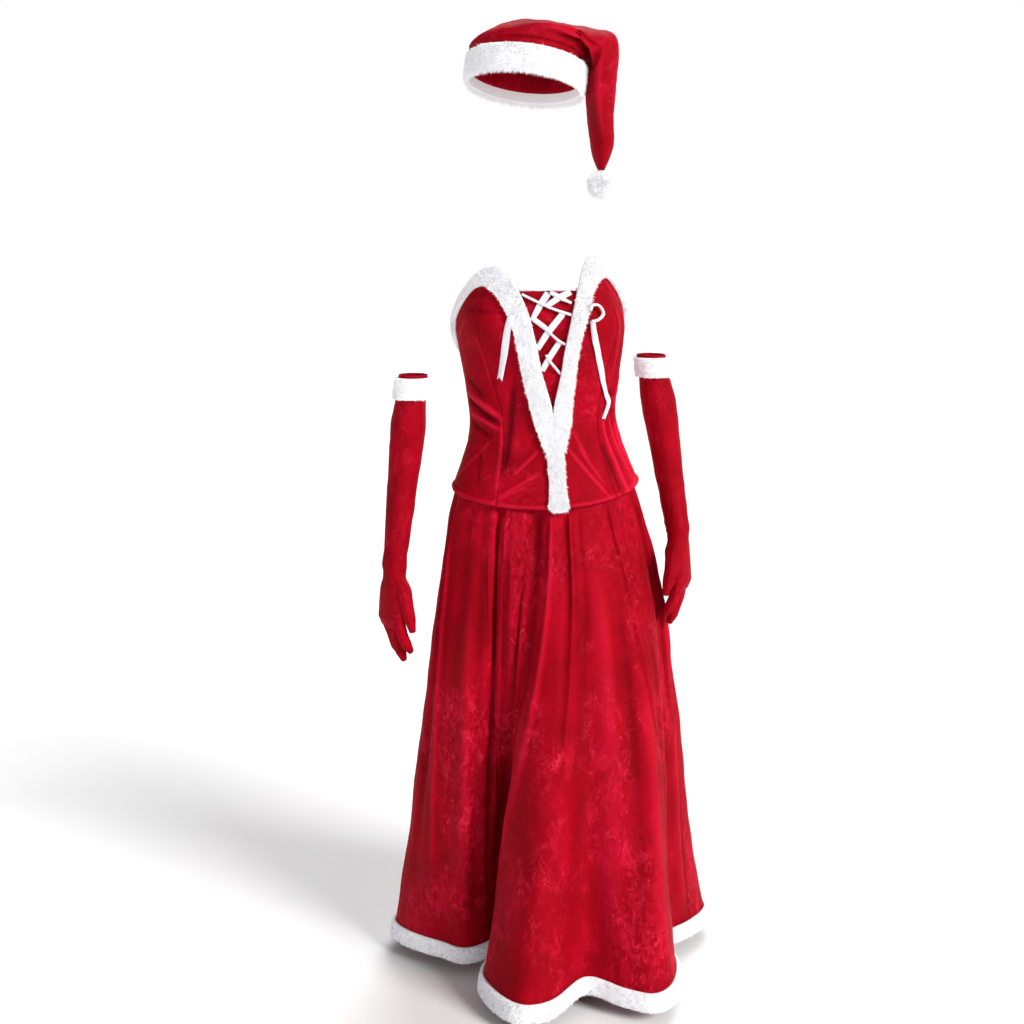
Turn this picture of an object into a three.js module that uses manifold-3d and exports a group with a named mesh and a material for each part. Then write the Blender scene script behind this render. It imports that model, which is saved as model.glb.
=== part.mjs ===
// Christmas costume dress: a strapless laced bodice, a long flared skirt, a pair of elbow-length gloves
// and a stocking hat, cut from red panne velvet and trimmed with white plush.
//
// Millimetres, +Z up, the front towards -Y, +X towards the wearer's left. The origin is the middle of
// the waist, where the wearer holds the dress up. Angles go round the wearer in degrees: 0 is the front,
// 90 the wearer's left side, 180 the back.

import * as THREE from "three";
import { mergeVertices } from "three/addons/utils/BufferGeometryUtils.js";
import Module from "manifold-3d";

// ---------------------------------------------------------------------------------------------------
// Driving dimensions
// ---------------------------------------------------------------------------------------------------

const VELVET = 2; // thickness of the pile cloth
const PLUSH = 9; // height of the plush trim over the cloth
const PLUSH_EDGE = 3; // height of the plush at its cut edges
const RIBBON = 1; // thickness of the satin ribbon
const RIBBON_WIDTH = 7;
const LAID_GAP = 0.9; // clearance under a piece that lies on a curved panel
const SEAM_GAP = 0.35; // clearance between two pieces at a seam

// Sections of the bodice, from its hem up: middle of the section, half its width, front and back depth.
const BODICE = [
  { z: -156, middle: 7, half: 183, front: 123, back: 129 },
  { z: -118, middle: 5, half: 171, front: 115, back: 120 },
  { z: -80, middle: 3, half: 156, front: 106, back: 108 },
  { z: -42, middle: 1, half: 142, front: 101, back: 99 },
  { z: 0, middle: 0, half: 136, front: 98, back: 90 },
  { z: 70, middle: -2, half: 143, front: 108, back: 94 },
  { z: 135, middle: -4, half: 153, front: 118, back: 98 },
  { z: 182, middle: -5, half: 155, front: 124, back: 100 },
  { z: 218, middle: -5, half: 147, front: 118, back: 97 },
  { z: 255, middle: -6, half: 134, front: 108, back: 92 },
  { z: 310, middle: -6, half: 112, front: 86, back: 80 },
];
const CUP = { angle: 40, height: 180, rise: 16, spread: 24, reach: 52 }; // fullness shaped by the seams

// Top edge of the bodice: two peaks at the front, low under the arms and across the back.
const TOP_EDGE = [
  { angle: 20, z: 246 },
  { angle: 34, z: 284 },
  { angle: 44, z: 291 },
  { angle: 56, z: 284 },
  { angle: 70, z: 262 },
  { angle: 80, z: 239 },
  { angle: 90, z: 210 },
  { angle: 102, z: 172 },
  { angle: 116, z: 144 },
  { angle: 135, z: 134 },
  { angle: 180, z: 131 },
];
const TOP_TILT = 7; // the wearer's left peak stands this much higher than the middle of the two
const HEM = { side: -113, point: 39, tilt: 6 }; // hem of the bodice: height at the back, dip at the front

// Seams of the bodice at each height: the middle line, the V opening, and the seam over the cups.
const SEAMS = [
  { z: -150, centre: 3.8, vee: 0, cup: 39 },
  { z: -60, centre: 3.6, vee: 0, cup: 39 },
  { z: 18, centre: 2.8, vee: 0, cup: 41 },
  { z: 60, centre: 2.4, vee: 3.6, cup: 44 },
  { z: 100, centre: 2.1, vee: 6.3, cup: 47 },
  { z: 145, centre: 1.8, vee: 9, cup: 49 },
  { z: 180, centre: 1.6, vee: 11.6, cup: 49 },
  { z: 205, centre: 1.5, vee: 14.4, cup: 50 },
  { z: 238, centre: 1.5, vee: 20.5, cup: 51 },
  { z: 262, centre: 1.5, vee: 27.5, cup: 52 },
  { z: 288, centre: 1.5, vee: 36, cup: 53 },
];
const SIDE_SEAM = 90;
const STOMACHER = { top: 240, bottom: 8, tuck: 5, under: 1.9 }; // panel behind the V, tucked in by 5 degrees
const PIPING = 6; // height of the white edging on its top edge

// Edges of the plush on one half of the front, from the hem point of the V to the back of the armhole.
// Angles are counted from the middle line at the start and from the front at the end.
const FRONT_PLUSH = [
  { innerAngle: 0.25, innerZ: -50, outerAngle: 8.6, outerZ: -50, leftAngle: 8.4 },
  { innerAngle: 0.25, innerZ: -18, outerAngle: 13.5, outerZ: -20, leftAngle: 13.2 },
  { innerAngle: 0.25, innerZ: 14, outerAngle: 17.9, outerZ: 12, leftAngle: 16.6 },
  { innerAngle: 2.4, innerZ: 55, outerAngle: 20.8, outerZ: 50, leftAngle: 17.4 },
  { innerAngle: 5.2, innerZ: 100, outerAngle: 23.4, outerZ: 96, leftAngle: 18.6 },
  { innerAngle: 8, innerZ: 145, outerAngle: 24.6, outerZ: 140, leftAngle: 19.8 },
  { innerAngle: 10.6, innerZ: 180, outerAngle: 26.4, outerZ: 172, leftAngle: 22.2 },
  { innerAngle: 13.4, innerZ: 207, outerAngle: 30.2, outerZ: 198, leftAngle: 26.2 },
  { innerAngle: 19.4, innerZ: 242, outerAngle: 37.5, outerZ: 226, leftAngle: 32.4 },
  { innerAngle: 27, innerZ: 273, outerAngle: 46, outerZ: 244, leftAngle: 43 },
  { innerAngle: 36, innerZ: 293, outerAngle: 53, outerZ: 250, leftAngle: 52.4 },
  { innerAngle: 46, innerZ: 298, outerAngle: 60, outerZ: 247, leftAngle: 60 },
  { innerAngle: 58, innerZ: 291, outerAngle: 66, outerZ: 238, leftAngle: 66 },
  { innerAngle: 70, innerZ: 270, outerAngle: 73, outerZ: 222, leftAngle: 73 },
  { innerAngle: 81, innerZ: 245, outerAngle: 80, outerZ: 202, leftAngle: 80 },
  { innerAngle: 92, innerZ: 213, outerAngle: 90, outerZ: 175, leftAngle: 90 },
  { innerAngle: 104, innerZ: 177, outerAngle: 102, outerZ: 143, leftAngle: 102 },
  { innerAngle: 117, innerZ: 151, outerAngle: 116, outerZ: 119, leftAngle: 116 },
];
const BACK_PLUSH = { from: 117, top: 8, height: 32 };
const CENTRE_PLUSH = { top: -50, half: 8.2, waist: 6.6, foot: 7.6, shift: -1.2, below: 2 };

// Lacing over the stomacher as [angle, height] paths from the wearer's right edge of the V to the left.
// Rising strands lie under falling ones.
const LACES = {
  lace_rising_1: [[-9.6, 193], [-5.2, 217], [0, 237]],
  lace_rising_2: [[-0.6, 216], [7.8, 228.5], [15.6, 237]],
  lace_rising_3: [[-5.4, 141], [0.8, 171], [9.2, 198]],
  lace_rising_4: [[-2.6, 101], [0.9, 124], [6, 147]],
  lace_falling_1: [[-16.4, 233.5], [-7.8, 222.8], [1.7, 210.6], [12.8, 199.5]],
  lace_falling_2: [[2.2, 237.5], [8.8, 229], [14.6, 221]],
  lace_falling_3: [[-9.4, 191], [-1.2, 173.9], [1.4, 164.9], [6, 153.5], [8.4, 148.8]],
  lace_falling_4: [[-0.6, 122], [1.2, 115], [5.8, 97.5]],
};
const LACE_ENDS = {
  lace_end_right: [[-28.2, 164], [-28.4, 141], [-31.6, 112], [-35.4, 86]],
  lace_end_left: [[29, 165], [32.6, 138], [41, 97], [48.9, 58], [53.4, 35], [48.6, 8]],
  lace_loop: [[34.6, 196], [38, 198.5], [40.6, 205.5], [39.6, 212.5], [37, 214.5]],
};

// Skirt: sections of its unfolded cone, from the hem up to the hem of the bodice. Above that it follows
// the bodice from the inside.
const SKIRT_EASE = 6; // from the outside of the bodice in to the outside of the skirt
const SKIRT = [
  { z: -1068, middle: 37, half: 324, front: 276, back: 292 },
  { z: -860, middle: 30, half: 290, front: 236, back: 256 },
  { z: -640, middle: 26, half: 262, front: 200, back: 222 },
  { z: -400, middle: 19, half: 226, front: 160, back: 180 },
  { z: -290, middle: 14, half: 206, front: 142, back: 157 },
  { z: -200, middle: 8, half: 187, front: 126, back: 136 },
  ...BODICE.filter(({ z }) => z <= 0).map(({ z, middle, half, front, back }) => (
    { z, middle, half: half - SKIRT_EASE, front: front - SKIRT_EASE, back: back - SKIRT_EASE }
  )),
];
const SKIRT_TOP = -26;
const WAISTBAND = { top: -2, bottom: -25.6, under: 1.4 }; // it lies this far inside the bodice
const FOLDS_START = -150; // below this height the skirt breaks into folds
const FOLD_GROWTH = 1.55; // how slowly the folds open towards the hem

// Where the hem hangs: each ridge, hollow and flank of a fold, by the angle that it has at the waist.
const HEM_FOLDS = [
  { waist: -104, x: -290, y: 100, lift: 4 },
  { waist: -88, x: -271, y: 48, lift: 6 },
  { waist: -74, x: -234, y: 2, lift: 10 },
  { waist: -62, x: -196, y: -22, lift: 8 },
  { waist: -50, x: -156, y: -48, lift: 6 },
  { waist: -42, x: -112, y: -30, lift: 8 },
  { waist: -35, x: -72, y: 22, lift: 12 },
  { waist: -30, x: -44, y: 30, lift: 14 },
  { waist: -25, x: -52, y: -24, lift: 12 },
  { waist: -19, x: -104, y: -82, lift: 6 },
  { waist: -12, x: -132, y: -152, lift: 2 },
  { waist: -6, x: -114, y: -228, lift: 0 },
  { waist: 1, x: -74, y: -284, lift: 0 },
  { waist: 8, x: -18, y: -272, lift: 0 },
  { waist: 18, x: 56, y: -210, lift: 12 },
  { waist: 29, x: 130, y: -252, lift: 4 },
  { waist: 38, x: 180, y: -273, lift: 2 },
  { waist: 47, x: 220, y: -238, lift: 4 },
  { waist: 58, x: 243, y: -152, lift: 8 },
  { waist: 67, x: 232, y: -92, lift: 10 },
  { waist: 76, x: 246, y: -34, lift: 10 },
  { waist: 88, x: 302, y: 20, lift: 6 },
  { waist: 98, x: 344, y: 68, lift: 4 },
  { waist: 107, x: 361, y: 116, lift: 2 },
  { waist: 120, x: 334, y: 176, lift: 4 },
  { waist: 134, x: 254, y: 186, lift: 10 },
  { waist: 148, x: 216, y: 268, lift: 4 },
  { waist: 164, x: 110, y: 246, lift: 10 },
  { waist: 180, x: 36, y: 308, lift: 4 },
  { waist: 196, x: -50, y: 250, lift: 10 },
  { waist: 212, x: -140, y: 270, lift: 4 },
  { waist: 226, x: -178, y: 186, lift: 10 },
  { waist: 240, x: -256, y: 178, lift: 4 },
  { waist: 249, x: -276, y: 134, lift: 4 },
];
// Narrow pleats that drop from the waistband, as hollows pressed into the cone.
const PLEATS = [
  { angle: -82, depth: 7, foot: -1040, spread: 4.5, drift: 0.3 },
  { angle: -57, depth: 3, foot: -520, spread: 4.5, drift: 0 },
  { angle: -44, depth: 4, foot: -760, spread: 4, drift: 0.6 },
  { angle: -32.6, depth: 10, foot: -900, spread: 2.4, drift: 0.9 },
  { angle: -9.6, depth: 14, foot: -1040, spread: 4.4, drift: 1.5 },
  { angle: 8, depth: 5, foot: -560, spread: 3, drift: 0.6 },
  { angle: 32, depth: 4, foot: -760, spread: 3.6, drift: 0 },
  { angle: 66, depth: 6, foot: -820, spread: 4, drift: -1.6 },
  { angle: 104, depth: 6, foot: -700, spread: 4, drift: 0 },
  { angle: 130, depth: 7, foot: -620, spread: 4, drift: 0 },
  { angle: 153, depth: 7, foot: -660, spread: 4, drift: 0 },
  { angle: 178, depth: 7, foot: -660, spread: 4, drift: 0 },
  { angle: 202, depth: 7, foot: -640, spread: 4, drift: 0 },
  { angle: 226, depth: 7, foot: -600, spread: 4, drift: 0 },
];
const CLOSE_COLUMNS = [{ at: 0.17, to: 0.24 }, { at: 0.69, to: 0.6 }]; // share of columns, share of the front
const PLEATS_START = -60; // the pleats are released below this height
const PLEATS_FULL = -150; // and have their full depth here
const HEM_BAND = 39; // height of the plush round the hem
const HEM_OVERLAP = 2; // the plush reaches this far below the velvet
const HEM_GAP = 1.3; // clearance under the plush where the hem twists

// Hat: the plush band leans back and to the wearer's left; the crown folds over it and hangs down.
const BAND = { x: -32, y: 8, z: 629, half: 101.5, depth: 109.5, height: 58, lean: 13, roll: 5.9 };
const CROWN = [
  // outer and inner end of each section across the cloth, half its depth, lean, and how far back it lies
  { outerX: -118, outerZ: 684, innerX: 78, innerZ: 656, half: 108, lean: 9, back: 8 },
  { outerX: -80, outerZ: 703, innerX: 81, innerZ: 661, half: 103, lean: 6, back: 9 },
  { outerX: -28, outerZ: 715, innerX: 84, innerZ: 664, half: 96, lean: 4, back: 10 },
  { outerX: 26, outerZ: 714, innerX: 87, innerZ: 665, half: 88, lean: 2, back: 12 },
  { outerX: 78, outerZ: 706, innerX: 90, innerZ: 664, half: 79, lean: 0, back: 13 },
  { outerX: 118, outerZ: 696, innerX: 92, innerZ: 658, half: 71, lean: 0, back: 14 },
  { outerX: 131, outerZ: 662, innerX: 89, innerZ: 642, half: 63, lean: 0, back: 15 },
  { outerX: 129, outerZ: 610, innerX: 86, innerZ: 604, half: 55, lean: 0, back: 16 },
  { outerX: 126, outerZ: 560, innerX: 86, innerZ: 558, half: 47, lean: 0, back: 17 },
  { outerX: 124, outerZ: 512, innerX: 89, innerZ: 512, half: 38, lean: 0, back: 18 },
  { outerX: 121, outerZ: 476, innerX: 96, innerZ: 476, half: 27, lean: 0, back: 18 },
  { outerX: 115, outerZ: 454, innerX: 103, innerZ: 454, half: 12, lean: 0, back: 18 },
];
const CROWN_FOLDS = { count: 7, depth: 0.045 }; // soft folds round the crown, as a share of its radius
const POMPOM = { radius: 27, below: 26.8 };

// Gloves, drawn for the wearer's right arm: from the elbow down to the wrist, then the hand.
const ARM = [
  { down: 0, half: 27, depth: 31 },
  { down: 48, half: 29, depth: 34 },
  { down: 90, half: 33, depth: 37 },
  { down: 180, half: 29, depth: 34 },
  { down: 270, half: 25, depth: 30 },
  { down: 340, half: 22, depth: 28 },
];
const GLOVES = {
  right: { side: -1, elbow: [-240, 14, 82], wrist: [-280, -24, -268] },
  left: { side: 1, elbow: [206, 10, 116], wrist: [254, -30, -208] },
};
const CUFF = { height: 50, plush: 7, gap: 0.95 };
// Hand below the wrist: along the fingers, across the palm, and out from the palm to its back.
const PALM = [
  { down: 0, across: 28, thick: 21, out: 0, forward: 0 },
  { down: 30, across: 34, thick: 18, out: 3, forward: 3 },
  { down: 70, across: 39, thick: 16, out: 8, forward: 5 },
  { down: 104, across: 39, thick: 14, out: 12, forward: 5 },
  { down: 120, across: 33, thick: 9, out: 11, forward: 5 },
];
const FINGERS = [
  { name: "index", across: -31, root: 100, length: 76, curl: 38, radius: 9.6 },
  { name: "middle", across: -11.5, root: 102, length: 92, curl: 22, radius: 9.8 },
  { name: "ring", across: 8, root: 100, length: 84, curl: 26, radius: 9.5 },
  { name: "little", across: 26, root: 92, length: 66, curl: 32, radius: 8.4 },
];
const THUMB = { root: [-4, -20, 20], knuckle: [2, -46, 62], tip: [-6, -56, 124], radius: 10.6 };

// ---------------------------------------------------------------------------------------------------
// Materials
// ---------------------------------------------------------------------------------------------------

const cloth = (color, roughness) =>
  new THREE.MeshStandardMaterial({ color, roughness, metalness: 0, side: THREE.FrontSide });
const VELVET_RED = () => cloth(0xb3061f, 0.7);
const PLUSH_WHITE = () => cloth(0xf1eff2, 0.95);
const SATIN_WHITE = () => cloth(0xf7f5f6, 0.4);

// ---------------------------------------------------------------------------------------------------
// Small geometry helpers
// ---------------------------------------------------------------------------------------------------

const rad = THREE.MathUtils.degToRad;
const mix = THREE.MathUtils.lerp;
const smoothstep = (x, low, high) => THREE.MathUtils.smoothstep(x, low, high);

/** Value of a column where another column is x, on a smooth curve through rows sorted by that column. */
function along(rows, key, column, x) {
  const last = rows.length - 1;
  if (x <= rows[0][key]) return rows[0][column];
  if (x >= rows[last][key]) return rows[last][column];
  let i = 0;
  while (x > rows[i + 1][key]) i++;
  const slope = (j) => {
    const before = rows[Math.max(j - 1, 0)];
    const after = rows[Math.min(j + 1, last)];
    return (after[column] - before[column]) / (after[key] - before[key]);
  };
  const span = rows[i + 1][key] - rows[i][key];
  const t = (x - rows[i][key]) / span;
  const rise = rows[i + 1][column] - rows[i][column];
  const bend0 = slope(i) * span - rise;
  const bend1 = rise - slope(i + 1) * span;
  return rows[i][column] + rise * t + t * (1 - t) * ((1 - t) * bend0 + t * bend1);
}

/** A closed wall between two surfaces over the same grid. A ring closes on itself along u. */
function wall(outer, inner, columns, rows, ring = false) {
  const points = [];
  for (const surface of [outer, inner]) {
    for (let j = 0; j <= rows; j++) {
      for (let i = 0; i <= columns; i++) points.push(...surface(i / columns, j / rows));
    }
  }
  const at = (layer, i, j) => layer * (rows + 1) * (columns + 1) + j * (columns + 1) + i;
  const faces = [];
  const quad = (a, b, c, d) => faces.push(a, b, c, a, c, d);
  for (let j = 0; j < rows; j++) {
    for (let i = 0; i < columns; i++) {
      quad(at(0, i, j), at(0, i + 1, j), at(0, i + 1, j + 1), at(0, i, j + 1));
      quad(at(1, i, j), at(1, i, j + 1), at(1, i + 1, j + 1), at(1, i + 1, j));
    }
  }
  for (let i = 0; i < columns; i++) {
    quad(at(0, i, 0), at(1, i, 0), at(1, i + 1, 0), at(0, i + 1, 0));
    quad(at(0, i, rows), at(0, i + 1, rows), at(1, i + 1, rows), at(1, i, rows));
  }
  for (let j = 0; !ring && j < rows; j++) {
    quad(at(0, 0, j), at(0, 0, j + 1), at(1, 0, j + 1), at(1, 0, j));
    quad(at(0, columns, j), at(1, columns, j), at(1, columns, j + 1), at(0, columns, j + 1));
  }
  return closed(points, faces);
}

/** A solid tube through rings of points, closed by a fan at each end. */
function tube(rings) {
  const sides = rings[0].length;
  const points = rings.flat(2);
  const middle = (ring) => [0, 1, 2].map((k) => ring.reduce((sum, p) => sum + p[k], 0) / sides);
  points.push(...middle(rings[0]), ...middle(rings.at(-1)));
  const first = rings.length * sides;
  const faces = [];
  for (let j = 0; j < rings.length - 1; j++) {
    for (let i = 0; i < sides; i++) {
      const a = j * sides + i;
      const b = j * sides + ((i + 1) % sides);
      faces.push(a, b, b + sides, a, b + sides, a + sides);
    }
  }
  const top = (rings.length - 1) * sides;
  for (let i = 0; i < sides; i++) {
    const next = (i + 1) % sides;
    faces.push(first, next, i, first + 1, top + i, top + next);
  }
  return closed(points, faces);
}

/** A geometry from points and triangles, turned so that its faces point out. */
function closed(points, faces) {
  const geometry = new THREE.BufferGeometry();
  geometry.setAttribute("position", new THREE.BufferAttribute(new Float32Array(points), 3));
  geometry.setIndex(faces);
  const merged = mergeVertices(geometry, 1e-3);
  const index = Array.from(merged.index.array);
  const kept = [];
  for (let i = 0; i < index.length; i += 3) {
    const [a, b, c] = index.slice(i, i + 3);
    if (a !== b && b !== c && a !== c) kept.push(a, b, c);
  }
  const [p, q, r] = [new THREE.Vector3(), new THREE.Vector3(), new THREE.Vector3()];
  const corner = (v, i) => v.fromBufferAttribute(merged.attributes.position, i);
  let volume = 0;
  for (let i = 0; i < kept.length; i += 3) {
    volume += corner(p, kept[i]).dot(corner(q, kept[i + 1]).cross(corner(r, kept[i + 2])));
  }
  if (volume < 0) kept.reverse();
  merged.setIndex(kept);
  return merged;
}

const dress = new THREE.Group();

function add(name, geometry, material) {
  const flat = geometry.index ? geometry.toNonIndexed() : geometry;
  flat.computeVertexNormals();
  const mesh = new THREE.Mesh(flat, material);
  mesh.name = name;
  dress.add(mesh);
}

// ---------------------------------------------------------------------------------------------------
// Bodice
// ---------------------------------------------------------------------------------------------------

/** Point of a section at an angle, moved out along the section's own normal. */
function onSection(section, angle, z, out) {
  const [sine, cosine] = [Math.sin(rad(angle)), Math.cos(rad(angle))];
  const depth = cosine > 0 ? section.front : section.back;
  const normal = new THREE.Vector2(sine / section.half, -cosine / depth).normalize();
  const x = section.middle + section.half * sine + normal.x * out;
  return [x, -depth * cosine + normal.y * out, z];
}

const sectionAt = (rows, z) =>
  Object.fromEntries(["middle", "half", "front", "back"].map((key) => [key, along(rows, "z", key, z)]));

/** Rise of the two cups over the bodice's plain section. */
function cupRise(angle, z) {
  const high = ((z - CUP.height) / CUP.reach) ** 2;
  const one = (centre) => Math.exp(-(((angle - centre) / CUP.spread) ** 2) - high);
  return CUP.rise * (one(CUP.angle) + one(-CUP.angle));
}

/** Point on the outside of the bodice, moved out. */
const onBodice = (angle, z, out = 0) => onSection(sectionAt(BODICE, z), angle, z, out + cupRise(angle, z));

const turnBack = (angle) => (angle > 180 ? angle - 360 : angle);
const topEdge = (angle) =>
  along(TOP_EDGE, "angle", "z", Math.abs(turnBack(angle))) + TOP_TILT * Math.sin(rad(angle));
function bodiceHem(angle) {
  const front = (1 + Math.cos(rad(angle))) / 2;
  return HEM.side - HEM.point * front ** 2 + HEM.tilt * Math.sin(rad(angle));
}
const seamAt = (column, z) => along(SEAMS, "z", column, z);
const veeHalf = (z) => Math.max(0, seamAt("vee", z));

/** Height that seams are read at, for a row of a panel from its hem, 0, to its top edge, 1. */
const seamHeight = (v) => mix(-150, 288, v);

/** A bodice panel between two seams, each an angle for every row of the panel. */
function bodicePanel(name, startSeam, endSeam, columns) {
  const trim = THREE.MathUtils.radToDeg(SEAM_GAP / 2 / sectionAt(BODICE, 0).back);
  const place = (u, v, out) => {
    const start = startSeam(seamHeight(v));
    const end = endSeam(seamHeight(v));
    const angle = mix(start + trim, end - trim, u);
    return onBodice(angle, mix(bodiceHem(angle), topEdge(angle), v), out);
  };
  const outer = (u, v) => place(u, v, 0);
  const inner = (u, v) => place(u, v, -VELVET);
  add(name, wall(outer, inner, columns, 13), VELVET_RED());
}

const fixed = (angle) => () => angle;
const veeLeft = (z) => seamAt("centre", z) + veeHalf(z);
const veeRight = (z) => seamAt("centre", z) - veeHalf(z);
const cupLeft = (z) => seamAt("centre", z) + seamAt("cup", z);
const cupRight = (z) => seamAt("centre", z) - seamAt("cup", z);

bodicePanel("bodice_front_left", veeLeft, cupLeft, 6);
bodicePanel("bodice_front_right", cupRight, veeRight, 6);
bodicePanel("bodice_side_front_left", cupLeft, fixed(SIDE_SEAM), 5);
bodicePanel("bodice_side_front_right", fixed(-SIDE_SEAM), cupRight, 5);
bodicePanel("bodice_back_left", fixed(SIDE_SEAM), fixed(180), 7);
bodicePanel("bodice_back_right", fixed(180), fixed(360 - SIDE_SEAM), 7);

/** The panel behind the V, tucked under the fronts. */
function stomacher() {
  const place = (u, v, out) => {
    const z = mix(STOMACHER.bottom, STOMACHER.top, v);
    const reach = veeHalf(z) + STOMACHER.tuck;
    return onBodice(seamAt("centre", z) + mix(-reach, reach, u), z, out);
  };
  const under = -VELVET - STOMACHER.under;
  add("stomacher", wall((u, v) => place(u, v, under), (u, v) => place(u, v, under - VELVET), 6, 8), VELVET_RED());
}
stomacher();

/** White edging that closes the stomacher's top edge, between the two fronts. */
function stomacherEdging() {
  const low = STOMACHER.top + SEAM_GAP;
  const reach = veeHalf(low) - 1;
  const place = (u, v, out) => {
    const angle = seamAt("centre", low) + mix(-reach, reach, u);
    return onBodice(angle, mix(low, low + PIPING, v), out);
  };
  const top = -LAID_GAP;
  add("stomacher_edging", wall((u, v) => place(u, v, top), (u, v) => place(u, v, top - 4), 8, 1), SATIN_WHITE());
}
stomacherEdging();

/** Height of a plush band over the cloth: low at its edges, full in its middle. */
const pile = (across) => mix(PLUSH_EDGE, PLUSH, Math.sqrt(Math.max(0, 1 - (2 * across - 1) ** 2)));

/** Plush from the foot of the V up its edge, over the peak and down to the back of the armhole. */
function frontPlush(name, side) {
  const last = FRONT_PLUSH.length - 1;
  const rows = FRONT_PLUSH.map((row, order) => ({ ...row, order }));
  const edge = (which, s) => {
    const z = along(rows, "order", `${which}Z`, s);
    const column = which === "outer" && side > 0 ? "leftAngle" : `${which}Angle`;
    const angle = Math.max(FRONT_PLUSH[0].innerAngle, along(rows, "order", column, s));
    const centred = 1 - smoothstep(s, 8, 13);
    return [side * angle + seamAt("centre", z) * centred, z + side * TOP_TILT * smoothstep(s, 6, 10)];
  };
  const place = (u, v, out) => {
    const [inner, outer] = [edge("inner", u * last), edge("outer", u * last)];
    return onBodice(mix(inner[0], outer[0], v), mix(inner[1], outer[1], v), out);
  };
  const top = (u, v) => place(u, v, LAID_GAP + pile(v));
  add(name, wall(top, (u, v) => place(u, v, LAID_GAP), 28, 4), PLUSH_WHITE());
}
frontPlush("plush_front_left", 1);
frontPlush("plush_front_right", -1);

/** Plush along the top edge of the back, between the ends of the two front strips. */
function backPlush() {
  const place = (u, v, out) => {
    const angle = mix(BACK_PLUSH.from + 0.3, 360 - BACK_PLUSH.from - 0.3, u);
    const top = topEdge(angle) + BACK_PLUSH.top;
    return onBodice(angle, mix(top - BACK_PLUSH.height, top, v), out);
  };
  const outer = (u, v) => place(u, v, LAID_GAP + pile(v));
  add("plush_back", wall(outer, (u, v) => place(u, v, LAID_GAP), 18, 4), PLUSH_WHITE());
}
backPlush();

/** Plush from the foot of the V down the middle of the front to just below the hem. */
function centrePlush() {
  const { top, half, waist, foot, shift, below } = CENTRE_PLUSH;
  const place = (u, v, out) => {
    const end = bodiceHem(0) - below;
    const z = mix(top - SEAM_GAP, end, v);
    const reach = v < 0.6 ? mix(half, waist, v / 0.6) : mix(waist, foot, (v - 0.6) / 0.4);
    return onBodice(seamAt("centre", z) + shift * v + mix(-reach, reach, u), z, out);
  };
  const outer = (u, v) => place(u, v, LAID_GAP + pile(u));
  add("plush_centre", wall(outer, (u, v) => place(u, v, LAID_GAP), 5, 6), PLUSH_WHITE());
}
centrePlush();

/** A flat ribbon along a path of [angle, height] places on the bodice. */
function ribbon(name, path, under, steps) {
  const middle = new THREE.CatmullRomCurve3(path.map(([angle, z]) => new THREE.Vector3(angle, z, 0)));
  const place = (u, v, out) => {
    const here = middle.getPoint(u);
    const tangent = middle.getTangent(u);
    const scale = (Math.PI / 180) * sectionAt(BODICE, here.y).front; // millimetres in a degree
    const run = new THREE.Vector2(tangent.x * scale, tangent.y).normalize();
    const shift = (v - 0.5) * RIBBON_WIDTH;
    return onBodice(here.x - (run.y * shift) / scale, here.y + run.x * shift, out);
  };
  const top = (u, v) => place(u, v, under + RIBBON);
  add(name, wall(top, (u, v) => place(u, v, under), steps, 1), SATIN_WHITE());
}
for (const [name, path] of Object.entries(LACES)) {
  ribbon(name, path, -VELVET + (name.includes("falling") ? RIBBON + SEAM_GAP : 0), 6);
}
for (const [name, path] of Object.entries(LACE_ENDS)) {
  ribbon(name, path, LAID_GAP, 2 * path.length);
}

// ---------------------------------------------------------------------------------------------------
// Skirt
// ---------------------------------------------------------------------------------------------------

const firstFold = HEM_FOLDS[0].waist;
const lastRow = HEM_FOLDS.length - 1;
const wrap = (row, turn) => ({ ...row, waist: row.waist + 360 * turn });
const HEM_LOOP = [
  ...[-3, -2, -1, 0].map((k) => wrap(HEM_FOLDS[lastRow + k], -1)),
  ...HEM_FOLDS,
  ...[0, 1, 2, 3].map((k) => wrap(HEM_FOLDS[k], 1)),
];

/** The hem's place and height for an angle at the waist, on a smooth closed curve through its folds. */
function hemAt(angle) {
  const turn = ((((angle - firstFold) % 360) + 360) % 360) + firstFold;
  return ["x", "y", "lift"].map((key) => along(HEM_LOOP, "waist", key, turn));
}

/** Hollow pressed into the skirt by its narrow pleats. */
function pleatDepth(angle, z) {
  let depth = 0;
  for (const pleat of PLEATS) {
    const middle = pleat.angle + (pleat.drift * Math.min(0, z - PLEATS_FULL)) / 100;
    const away = turnBack((((angle - middle) % 360) + 360) % 360) / pleat.spread;
    depth += pleat.depth * Math.exp(-away * away) * smoothstep(z, pleat.foot, pleat.foot / 2);
  }
  return depth * (1 - smoothstep(z, PLEATS_FULL, PLEATS_START));
}

/** Point in the middle of the skirt's cloth before the cloth gets its thickness. */
function skirtPoint(angle, v, drop = 0) {
  const [hemX, hemY, lift] = hemAt(angle);
  const floor = SKIRT[0].z;
  const z = mix(SKIRT_TOP, floor + lift - drop, v);
  const cone = onSection(sectionAt(SKIRT, z), angle, z, -pleatDepth(angle, z));
  const foot = onSection(SKIRT[0], angle, floor, 0);
  const growth = Math.max(0, (FOLDS_START - z) / (FOLDS_START - floor)) ** FOLD_GROWTH;
  return [cone[0] + (hemX - foot[0]) * growth, cone[1] + (hemY - foot[1]) * growth, z];
}

/** Point on the skirt moved out along the level normal of its folds. */
function onSkirt(angle, v, out, drop = 0) {
  const step = 0.6;
  const point = skirtPoint(angle, v, drop);
  const before = skirtPoint(angle - step, v, drop);
  const after = skirtPoint(angle + step, v, drop);
  const normal = new THREE.Vector2(after[1] - before[1], before[0] - after[0]).normalize();
  return [point[0] + normal.x * out, point[1] + normal.y * out, point[2]];
}

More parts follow.
